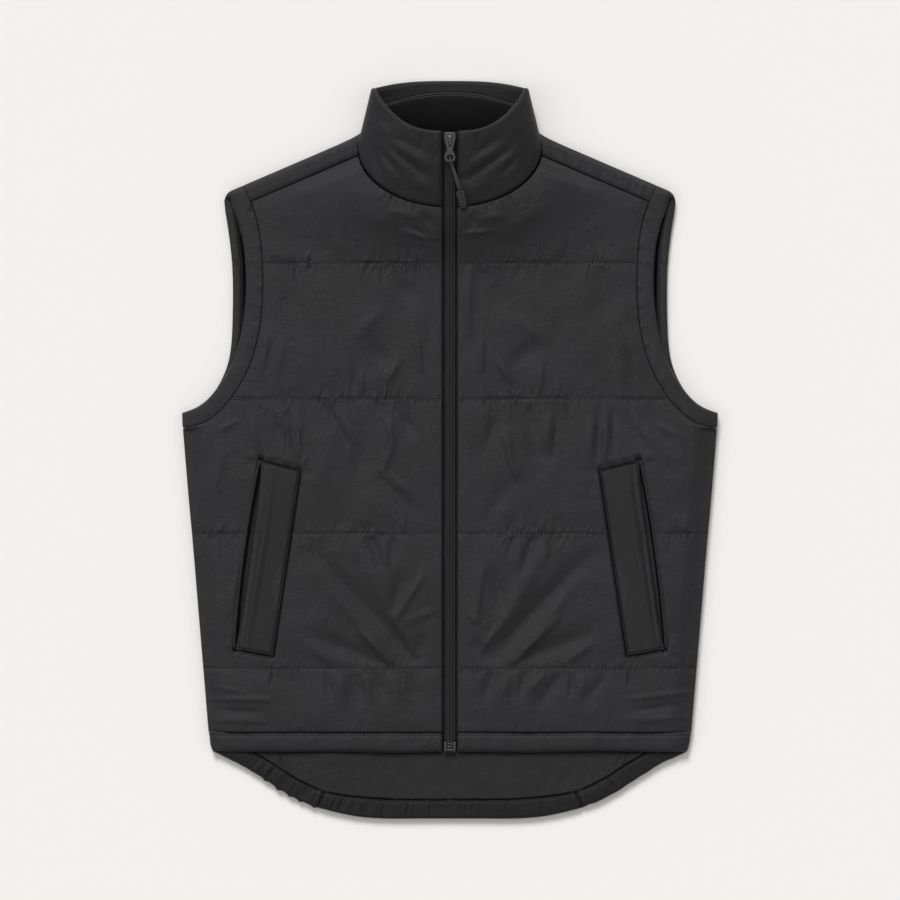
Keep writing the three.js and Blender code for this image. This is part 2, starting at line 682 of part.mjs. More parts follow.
// Points along a curve, moved to the right of its course.
function movedIn(curve, count, distance) {
  return steps(count).map((share) => {
    const [beforeX, beforeY] = curve(share - 0.01);
    const [afterX, afterY] = curve(share + 0.01);
    const length = Math.hypot(afterX - beforeX, afterY - beforeY);
    const [x, y] = curve(share);
    return [x + ((afterY - beforeY) / length) * distance, y - ((afterX - beforeX) / length) * distance];
  });
}

function backOutline(inset, shoulderInset) {
  const neckX = NECK.halfWidth + 0.4 + inset;
  const neckLine = [0, 0.25, 0.5, 0.75, 1].map((share) => [
    share * neckX,
    lerp(NECK.backY, NECK.sideY, share ** 2) - SEAM_GAP - inset,
  ]);
  const axisStart = FOLD_RADIUS + shoulderInset;
  const axisAt = (x) => SHOULDER.neck.y - axisStart / foldOut.y + (x - SHOULDER.neck.x) * (foldAlong.y / foldAlong.x);
  const shoulderEndX = 215 - inset;
  const armhole = movedIn(curveOf(BACK_ARMHOLE, "seamX", "seamY"), BACK_STATIONS, SEAM_GAP + inset).slice(1);
  const side = SIDE.slice(1).map(({ x, y }) => [x - inset, y]);
  const tail = TAIL.map(({ seamX, seamY }) => [seamX, seamY + SEAM_GAP + inset]).reverse();
  return bothHalves([
    ...neckLine,
    [neckX, axisAt(neckX)],
    [shoulderEndX, axisAt(shoulderEndX)],
    ...armhole,
    ...side.slice(0, -1),
    [side.at(-1)[0], HEM_LINE + 0.5],
    ...tail,
  ]);
}

// The part of the back that wraps over one shoulder, as a C between the neck and the armhole band.
function shoulderWrap() {
  const overlap = 2; // into the flat of the back
  const legEnd = SHOULDER.forward - FOLD_RADIUS;
  const profile = [
    // out is across the fold, from its axis; z is the height of the outside, innerZ of the inside
    { out: -overlap, outerZ: 0, innerZ: BACK_WALL },
    ...[180, 150, 120, 90, 60, 30, 0].map((degrees) => ({ degrees })),
    { out: -0.6 * legEnd, outerZ: 2 * FOLD_RADIUS, innerZ: FOLD_RADIUS + 1.5 },
    { out: SEAM_GAP - legEnd, outerZ: 2 * FOLD_RADIUS - 1.8, innerZ: FOLD_RADIUS + 1 },
  ];
  const fromRadius = FOLD_RADIUS - BACK_WALL;
  const place = (along, out, z) => {
    const startX = SHOULDER.neck.x + 0.5 + 0.08 * Math.min(0, out);
    const endX = 216 - 0.42 * Math.max(0, -out);
    const x = lerp(startX, endX, along);
    const axisX = x - foldOut.x * out;
    const axisY = SHOULDER.neck.y - FOLD_RADIUS / foldOut.y + (axisX - SHOULDER.neck.x) * (foldAlong.y / foldAlong.x);
    return point(x, axisY + foldOut.y * out, z);
  };
  const layer = (isOuter) =>
    profile.map(({ degrees, out, outerZ, innerZ }) =>
      steps(6).map((along) => {
        if (degrees === undefined) return place(along, out, isOuter ? outerZ : innerZ);
        const radius = isOuter ? FOLD_RADIUS : fromRadius;
        return place(along, radius * Math.sin(degrees * DEGREE), FOLD_RADIUS + radius * Math.cos(degrees * DEGREE));
      }),
    );
  return wall(layer(true), layer(false));
}

function backPanel() {
  const wrap = shoulderWrap();
  return join(slab(backOutline(0, 0), 0, BACK_WALL, 0), wrap, mirrored(wrap));
}

const backLining = () => slab(backOutline(1.2, 1), LINING_LEVEL, INSIDE_LEVEL);

// A piece of the back's hem between two places along TAIL, rounded at its lower edge.
function backHem(from, to, mirrorMiddle) {
  const edge = curveOf(TAIL);
  const seam = curveOf(TAIL, "seamX", "seamY");
  const stations = mirrorMiddle ? steps(16).map((t) => lerp(-to, to, t)) : steps(16).map((t) => lerp(from, to, t));
  const acrossHem = [0, 0.12, 0.6, 1];
  const place = (share, across, z) => {
    const [edgeX, edgeY] = edge(Math.abs(share));
    const [seamX, seamY] = seam(Math.abs(share));
    const side = share < 0 ? -1 : 1;
    return point(side * lerp(edgeX, seamX, across), lerp(edgeY, seamY, across), z);
  };
  const top = stations.map((s) => acrossHem.map((a) => place(s, a, a === 0 ? INSIDE_LEVEL - 2 : INSIDE_LEVEL)));
  const under = stations.map((s) => acrossHem.map((a) => place(s, a, a === 0 ? 1.6 : 0)));
  return wall(top, under);
}

// Pockets.

// The height of a front's outside at the pocket, clear of the gathers at its stitches.
function pocketBed(x, y) {
  const band = QUILT_LINES.findIndex((line) => line > y);
  const w = (y - QUILT_LINES[band - 1]) / (QUILT_LINES[band] - QUILT_LINES[band - 1]);
  const toEdge = pocketSideX(y) - x;
  const closeness = Math.max(0, 1 - Math.min(w, 1 - w) / GATHER.reach);
  return FRONT_LEVEL + paddedWall(w, x - ZIP_HALF_GAP, toEdge, true) + GATHER.height * closeness + SEAM_GAP;
}
const sideCurve = curveOf(SIDE);
const pocketSideX = (y) => findX(sideCurve, y);

function pocketPlace(across, up) {
  const low = { x: lerp(POCKET.innerBottom.x, POCKET.outerBottom.x, across), y: lerp(POCKET.innerBottom.y, POCKET.outerBottom.y, across) };
  const high = { x: lerp(POCKET.innerTop.x, POCKET.outerTop.x, across), y: lerp(POCKET.innerTop.y, POCKET.outerTop.y, across) };
  return [lerp(low.x, high.x, up), lerp(low.y, high.y, up)];
}

const WELT_ACROSS = [0, 0.06, 0.3, 0.7, 0.94, 1];
const WELT_ALONG = [0, 0.02, 0.12, 0.22, 0.32, 0.42, 0.5, 0.57, 0.6, 0.63, 0.66, 0.73, 0.82, 0.91, 0.98, 1];
function pocketWelt() {
  const full = FRONT_LEVEL + SEAM_WALL + CROWN;
  const layer = (isOuter) =>
    WELT_ALONG.map((up) =>
      WELT_ACROSS.map((share) => {
        const [x, y] = pocketPlace(share, up);
        const bed = pocketBed(x, y);
        if (!isOuter) return point(x, y, bed);
        const edge = Math.min(1, 0.35 + 10 * Math.min(share, 1 - share)) * Math.min(1, 0.35 + 30 * Math.min(up, 1 - up));
        return point(x, y, bed + Math.max(1.2, lerp(full, bed, 0.4) - bed + POCKET.wall * edge));
      }),
    );
  return wall(layer(true), layer(false));
}

// A strip beside the welt's open edge: out is its distance from the welt, and it narrows to the ends.
function besideWelt(out, width, lowZ, highZ, endShare) {
  const angle = Math.atan2(POCKET.outerTop.y - POCKET.outerBottom.y, POCKET.outerTop.x - POCKET.outerBottom.x);
  const normal = { x: Math.sin(angle), y: -Math.cos(angle) };
  const along = WELT_ALONG.map((t) => lerp(endShare, 1 - endShare, t));
  const layer = (z) =>
    along.map((up) =>
      [0, 1].map((share) => {
        const [x, y] = pocketPlace(1, up);
        const reach = out + width * share;
        const height = typeof z === "function" ? z(x, y, share) : z;
        return point(x + normal.x * reach, y + normal.y * reach, height);
      }),
    );
  return wall(layer(highZ), layer(lowZ));
}

const SLIT_DEPTH = 20;
const pocketSlit = () =>
  besideWelt(POCKET.slitOut, POCKET.slitWidth, FRONT_LEVEL - 0.2 * SLIT_DEPTH, FRONT_LEVEL + SLIT_DEPTH, 0.05);

function pocketLip() {
  const top = (x, y) => pocketBed(x, y) + POCKET.lipWall;
  return besideWelt(POCKET.slitOut + POCKET.slitWidth + SEAM_GAP, POCKET.lipWidth, pocketBed, top, 0.01);
}

// Zip.

// The height of the tapes' underside up the middle of the vest.
function zipBase(y) {
  if (y < NECK_LOW) return FRONT_LEVEL + neckRise(0, y) + TAPE.lift;
  const up = (y - NECK_LOW) / (COLLAR.frontY - NECK_LOW);
  return lerp(COLLAR.baseHeight, COLLAR.topHeight, up) - COLLAR_WALL + TAPE.lift;
}

function zipTape() {
  const lowY = HEM_LINE - HEM_HEIGHT + ZIP_BOX.length + SEAM_GAP - 1;
  const highY = COLLAR.frontY - 1;
  const stations = [...steps(10).map((t) => lerp(lowY, 150, t)), ...steps(12).map((t) => lerp(160, highY, t))];
  const topSide = [
    { x: TAPE.middle, z: TAPE.coilHeight - 0.5 },
    { x: 0.8, z: TAPE.coilHeight },
    { x: TAPE.coilHalf - 0.4, z: TAPE.coilHeight },
    { x: TAPE.coilHalf, z: TAPE.wall },
    { x: TAPE.half, z: TAPE.wall },
  ];
  const outer = stations.map((y) => topSide.map(({ x, z }) => point(x, y, zipBase(y) + z)));
  const inner = stations.map((y) => [TAPE.middle, TAPE.half].map((x) => point(x, y, zipBase(y))));
  return wall(outer, inner);
}

function zipBox() {
  const y = HEM_LINE - HEM_HEIGHT - 1 + ZIP_BOX.length / 2;
  const box = slab(roundedBox(ZIP_BOX.halfWidth, ZIP_BOX.length / 2, 1.2), 0, ZIP_BOX.height, 0.6);
  const groove = slab(roundedBox(0.5, ZIP_BOX.length, 0.1), ZIP_BOX.height - 0.9, ZIP_BOX.height + 1);
  const geometry = cut(box, groove);
  geometry.translate(0, y, zipBase(y) - 0.5);
  return geometry;
}

// A rectangle with round corners, as an outline.
function roundedBox(halfX, halfY, radius) {
  const shape = new THREE.Shape();
  const corners = [
    [halfX, halfY, 0],
    [-halfX, halfY, 90],
    [-halfX, -halfY, 180],
    [halfX, -halfY, 270],
  ];
  corners.forEach(([x, y, start]) => {
    const centreX = x - Math.sign(x) * radius;
    const centreY = y - Math.sign(y) * radius;
    shape.absarc(centreX, centreY, radius, start * DEGREE, (start + 90) * DEGREE, false);
  });
  return shape.getPoints(3).map((p) => [p.x, p.y]);
}

const ZIP_SLOPE = Math.atan2(COLLAR.topHeight - COLLAR.baseHeight, COLLAR.frontY - NECK_LOW);

// The slider: a plate over the coil with an arch that holds the pull.
function zipSlider() {
  const half = SLIDER.length / 2;
  const shield = [
    [SLIDER.topHalf * 0.75, half],
    [SLIDER.topHalf, half - 2],
    [SLIDER.topHalf, 1],
    [SLIDER.bottomHalf, 2 - half],
    [SLIDER.bottomHalf * 0.8, -half],
  ];
  const outline = [...shield, ...shield.map(([x, y]) => [-x, y]).reverse()].reverse();
  const plate = slab(outline, 0, SLIDER.plate, 0.5);
  const archShape = [
    [-ARCH.foot, -0.4],
    [-ARCH.foot + ARCH.footLength, -0.4],
    [-ARCH.foot + ARCH.footLength, ARCH.opening],
    [ARCH.foot - ARCH.footLength, ARCH.opening],
    [ARCH.foot - ARCH.footLength, -0.4],
    [ARCH.foot, -0.4],
    [ARCH.foot, ARCH.opening + 0.3],
    [ARCH.foot - 1, ARCH.opening + ARCH.bar],
    [1 - ARCH.foot, ARCH.opening + ARCH.bar],
    [-ARCH.foot, ARCH.opening + 0.3],
  ];
  const arch = slab(archShape, -ARCH.half, ARCH.half);
  arch.applyMatrix4(new THREE.Matrix4().makeBasis(point(0, 1, 0), point(0, 0, 1), point(1, 0, 0)));
  arch.translate(0, 0, SLIDER.plate);
  return join(plate, mergedByPlace(arch));
}

// The pull: a flat tab with a slot round the arch and a ring hole at its end, hung on its top bar.
function zipPull() {
  const profile = [
    { x: PULL.topHalf - 0.8, y: PULL.bar },
    { x: PULL.topHalf, y: 0 },
    { x: PULL.topHalf, y: -5 },
    { x: PULL.neckHalf, y: PULL.neckY },
    { x: PULL.ringHalf * 0.84, y: -15 },
    { x: PULL.ringHalf, y: PULL.ringY },
    { x: PULL.ringHalf * 0.86, y: -21.4 },
    { x: PULL.ringHalf * 0.5, y: -23.2 },
    { x: 0, y: PULL.endY },
  ];
  const outline = [...profile, ...profile.slice(0, -1).map(({ x, y }) => ({ x: -x, y })).reverse()];
  const shape = new THREE.Shape(outline.map(({ x, y }) => new THREE.Vector2(x, y)).reverse());
  const slot = roundedBox(PULL.slotHalf, (-PULL.bar - PULL.slotEnd) / 2, 0.8);
  const slotMiddle = (PULL.slotEnd - PULL.bar) / 2;
  shape.holes.push(new THREE.Path(slot.map(([x, y]) => new THREE.Vector2(x, y + slotMiddle))));
  const ring = steps(16).slice(0, -1).map((t) => t * Math.PI * 2);
  shape.holes.push(
    new THREE.Path(ring.map((a) => new THREE.Vector2(PULL.holeX * Math.cos(a), PULL.ringY + PULL.holeY * Math.sin(a)))),
  );
  const geometry = new THREE.ExtrudeGeometry(shape, { depth: PULL.wall, bevelEnabled: false });
  geometry.translate(0, 0, -PULL.wall / 2);
  return geometry;
}

// The moulded grip at the end of the pull's cord.
function cordGrip() {
  const half = GRIP.length / 2;
  const side = [
    [GRIP.half - 1.5, half],
    [GRIP.half, half - 2],
    [GRIP.tipHalf, 2 - half],
    [GRIP.tipHalf - 1.4, -half],
  ];
  const outline = [...side, ...side.map(([x, y]) => [-x, y]).reverse()].reverse();
  return slab(outline, 0, GRIP.wall, 0.8);
}

// The cord: from the grip up to the pull, round the end of its ring and back to the grip.
const CORD_ROUTE = [
  // x and y in the vest's frame, up is above the coil; the middle rows go over the ring's end and through its hole
  { x: 9, y: 275, up: 4.2 },
  { x: 7, y: 282, up: 4.1 },
  { x: 4.6, y: 290, up: 3.3 },
  { x: 2.2, y: 297, up: 3.2 },
  { x: 0.9, y: 301.6, up: 4.6 },
  { x: 0.3, y: 304.8, up: 5.4 },
  { x: 0.1, y: 307.6, up: 5.1 },
  { x: 0.2, y: 309, up: 3.4 },
  { x: 0.6, y: 307.6, up: 1.7 },
  { x: 1.4, y: 304.4, up: 1.2 },
  { x: 2.9, y: 299.6, up: 1.2 },
  { x: 4.9, y: 294, up: 2.6 },
  { x: 6.9, y: 288.4, up: 4 },
  { x: 9, y: 282.4, up: 4.1 },
  { x: 11.1, y: 275.4, up: 4.2 },
];
const CORD_STEPS = 30;
const CORD_SIDES = 8;
function pullCord() {
  const path = new THREE.CatmullRomCurve3(
    CORD_ROUTE.map(({ x, y, up }) => point(x, y, zipBase(y) + TAPE.coilHeight + up)),
  );
  const section = new THREE.Shape(
    steps(CORD_SIDES)
      .slice(0, -1)
      .map((t) => new THREE.Vector2(Math.cos(t * 2 * Math.PI), Math.sin(t * 2 * Math.PI)).multiplyScalar(CORD_DIAMETER / 2)),
  );
  return new THREE.ExtrudeGeometry(section, { steps: CORD_STEPS, bevelEnabled: false, extrudePath: path });
}

// The garment.
const vest = new THREE.Group();

function add(name, geometry, looks, parent = vest) {
  geometry.computeVertexNormals();
  const mesh = new THREE.Mesh(geometry, new THREE.MeshStandardMaterial(looks));
  mesh.name = name;
  parent.add(mesh);
  return mesh;
}

add("back_panel", backPanel(), CLOTH);
add("back_lining", backLining(), LINING);

const joinShare = TAIL_JOINS / (TAIL.length - 1);
const joinGap = 0.0008;
add("back_hem_middle", backHem(0, joinShare - joinGap, true), LINING);
const hemSide = backHem(joinShare + joinGap, 1, false);
add("back_hem_left", hemSide, LINING);
add("back_hem_right", mirrored(hemSide), LINING);

const [leftSeed, rightSeed] = [3, 11];
const twinFolds = FOLDS.right.map((fold) => ({ ...fold, x0: -fold.x0, x1: -fold.x1 }));
const slit = pocketSlit();
add("front_left", cut(frontPanel(FOLDS.left, leftSeed), slit), CLOTH);
add("front_right", mirrored(cut(frontPanel(twinFolds, rightSeed), slit)), CLOTH);
const hemBand = frontHem();
add("front_hem_left", hemBand, CLOTH);
add("front_hem_right", mirrored(hemBand), CLOTH);

const band = armholeBand();
add("armhole_band_left", band, CLOTH);
add("armhole_band_right", mirrored(band), CLOTH);

const collarOutside = [
  ...[0, 0.12, 0.3, 0.5, 0.7, 0.88, 0.975].map((up) => ({ up, inset: 0, bulge: COLLAR.bulge })),
  { up: 1, inset: 0.35 * COLLAR_WALL, bulge: 0 },
];
const collarInside = [0, 0.25, 0.5, 0.75, 0.985].map((up) => ({ up, inset: COLLAR_WALL, bulge: 0 }));
add(
  "collar",
  wall(collarGrid(COLLAR_COLUMNS, collarOutside, ZIP_HALF_GAP), collarGrid(COLLAR_COLUMNS, collarInside, ZIP_HALF_GAP)),
  CLOTH,
);

// The height at which the facing inside the collar meets the lining: lower at the sides.
const facingLine = (turn) => 0.828 - 0.19 * Math.abs(Math.cos(turn)) ** (4 / ROUNDNESS);

// A thin layer inside the collar, with its lower and upper edges set by the facing's line.
function collarLayer(bottom, top) {
  const near = COLLAR_WALL + SEAM_GAP;
  const far = near + LINING_WALL;
  const turnAt = (share, up, inset) => {
    const start = collarStart(up, inset, ZIP_HALF_GAP);
    return start - (Math.PI + 2 * start) * share;
  };
  const grid = (inset, heights) =>
    heights.map((height) =>
      steps(COLLAR_COLUMNS).map((share) => {
        const line = facingLine(turnAt(share, 0.8, COLLAR_WALL));
        const up = lerp(bottom(line), top(line), height);
        return collarPoint(turnAt(share, up, inset), up, inset);
      }),
    );
  return wall(grid(near, [0, 1 / 3, 2 / 3, 1]), grid(far, [0, 1]));
}
add("collar_facing", collarLayer((line) => line + 0.01, () => 0.97), CLOTH);
add("collar_lining", collarLayer(() => 0.02, (line) => line - 0.02), LINING);

const welt = pocketWelt();
add("pocket_welt_left", welt, CLOTH);
add("pocket_welt_right", mirrored(welt), CLOTH);
const lip = pocketLip();
add("pocket_lip_left", lip, CLOTH);
add("pocket_lip_right", mirrored(lip), CLOTH);

const tape = zipTape();
add("zip_tape_left", tape, TAPE_CLOTH);
add("zip_tape_right", mirrored(tape), TAPE_CLOTH);
add("zip_box", zipBox(), DARK_METAL);

const zipHead = new THREE.Group();
zipHead.position.set(0, SLIDER.middleY, zipBase(SLIDER.middleY) + TAPE.coilHeight + SEAM_GAP);
zipHead.rotation.x = ZIP_SLOPE;
vest.add(zipHead);
add("zip_slider", zipSlider(), DARK_METAL, zipHead);
const pull = add("zip_pull", zipPull(), DARK_METAL, zipHead);
pull.position.z = SLIDER.plate + PULL.axisHeight;
pull.rotation.x = PULL.restTilt * DEGREE;

add("pull_cord", pullCord(), TAPE_CLOTH);
const grip = add("pull_grip", cordGrip(), GRIP_RUBBER);
const gripUp = (GRIP.y - NECK_LOW) / (COLLAR.frontY - NECK_LOW);
const gripBed = collarPoint(collarStart(gripUp, 0, GRIP.x), gripUp, 0, COLLAR.bulge).z;
grip.position.set(GRIP.x, GRIP.y, gripBed + 0.5);
grip.rotation.set(GRIP.lean * DEGREE, 0, GRIP.turn * DEGREE);

export default vest;
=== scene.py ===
import functools
import math

import bmesh
import bpy
import numpy as np
from mathutils import Matrix, Vector


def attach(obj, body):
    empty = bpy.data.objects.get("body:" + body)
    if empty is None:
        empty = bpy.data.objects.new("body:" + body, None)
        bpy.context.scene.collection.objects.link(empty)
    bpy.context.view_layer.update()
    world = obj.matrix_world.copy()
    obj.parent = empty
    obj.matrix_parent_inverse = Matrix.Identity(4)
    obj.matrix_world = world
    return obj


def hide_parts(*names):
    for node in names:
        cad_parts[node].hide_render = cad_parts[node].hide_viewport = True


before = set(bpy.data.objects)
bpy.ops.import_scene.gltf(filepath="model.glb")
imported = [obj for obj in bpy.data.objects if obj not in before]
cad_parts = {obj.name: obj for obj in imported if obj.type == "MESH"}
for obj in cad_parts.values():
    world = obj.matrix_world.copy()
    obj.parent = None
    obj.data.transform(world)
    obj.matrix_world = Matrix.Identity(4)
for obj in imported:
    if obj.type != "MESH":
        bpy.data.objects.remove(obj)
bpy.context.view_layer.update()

MM = 0.001
# How much of the crown the wadding keeps at a stitched line.
FILLED = 3.2

# The same driving sizes as the solids.
FRONT_LEVEL = 6.6
INSIDE_LEVEL = 6.3
LINING_LEVEL = 5.3
BACK_WALL = 5.0
SEAM_WALL = 3.0
CROWN = 4.2
COLLAR_WALL = 5.0
BAND_WALL = 5.0
BAND_WIDTH = 20.0
HEM_LINE = -299.0
HEM_HEIGHT = 21.0
HEM_WIDTH = 508.0
QUILT_LINES = (-232.0, -88.5, 54.0, 198.0)
ZIP_HALF_GAP = 7.8
NECK_LOW = 256.0
NECK_HALF, NECK_DROP, NECK_SIDE, NECK_BACK = 98.0, 65.0, 321.0, 313.0
COLLAR_TOP_HALF, COLLAR_BASE, COLLAR_TOP = 83.0, 27.0, 43.0
COLLAR_FRONT, COLLAR_SIDE, COLLAR_BACK = 336.0, 382.5, 391.5
ROUNDNESS = 2.6
SHOULDER_NECK, SHOULDER_TIP = (98.0, 331.9), (236.7, 272.2)
SHOULDER_SEAM = ((95.6, 311.6), (208.2, 262.8))
SHOULDER_FORWARD = 19.5
FOLD_RADIUS = 6.5
# The folded shoulder is a little deeper along the cloth than it is high.
FOLD_REACH = 1.08
FOLD_ALONG, FOLD_OUT = (0.9186, -0.3953), (0.3953, 0.9186)
NECK_SHARE = 13 / 30
COIL_TOP = 2.6

# Each row is a place on the side seam, from the armhole down.
SIDE = ((283.3, 23.3), (277.4, -48), (272.7, -99), (266.8, -170), (260.5, -245), (256, HEM_LINE))
# Each row is a place on the open edge and the place beside it on the seam.
FRONT_ARMHOLE = (
    (284, 39, 283.3, 23.3), (272, 43.2, 271.2, 25.2), (262, 49, 256.9, 30.5), (250, 61.5, 239.5, 45),
    (238.5, 78.7, 224.5, 65), (228.2, 98, 210.2, 93.9), (221, 127, 201.5, 127), (217, 158, 198.4, 160),
    (216.3, 187, 198.2, 192), (218.7, 215.4, 200.4, 222), (223.5, 237, 204.5, 243.7), (229.2, 253.3, 210, 260.9),
)
BACK_ARMHOLE = (
    (238.2, 252, 217, 256), (235, 232, 214.5, 236), (231.8, 205, 211.8, 207), (230.4, 178, 210.5, 178),
    (230.6, 140, 210.7, 140), (232.2, 110, 213, 105), (236, 90, 219, 77.5), (243.5, 72, 229, 56.5),
    (254, 56.5, 242, 40.5), (268, 45.5, 259, 28.5), (284, 39, 283.3, 23.3),
)
TAIL = (
    (0, -391.5, 0, -371.5), (34, -391.5, 33, -371.5), (68, -391.5, 66, -371), (96, -389.6, 94, -369),
    (119, -385.3, 115, -366.6), (139.5, -379.8, 133, -363), (158.5, -372.4, 149.5, -356.3),
    (179.5, -361.2, 168, -346.4), (199.5, -347.9, 187.5, -333.6), (224.5, -333, 213, -319.2),
    (243.5, -324, 232, -309.5), (252, -318.5, 242, -303), (255, -306, 248, HEM_LINE),
)
# Where the tail's facing is joined, as a share of the way from its middle to the side.
TAIL_JOIN = 0.5
# The length of half the tail's edge, and the width of its facing.
TAIL_RUN, TAIL_FACING = 262, 20
# The length of a front's hem band, of a pocket's welt and of an armhole's two halves.
HEM_RUN, WELT_RUN, FRONT_HOLE_RUN, BACK_HOLE_RUN = 246, 200, 290, 250
WELT_WIDTH = 41

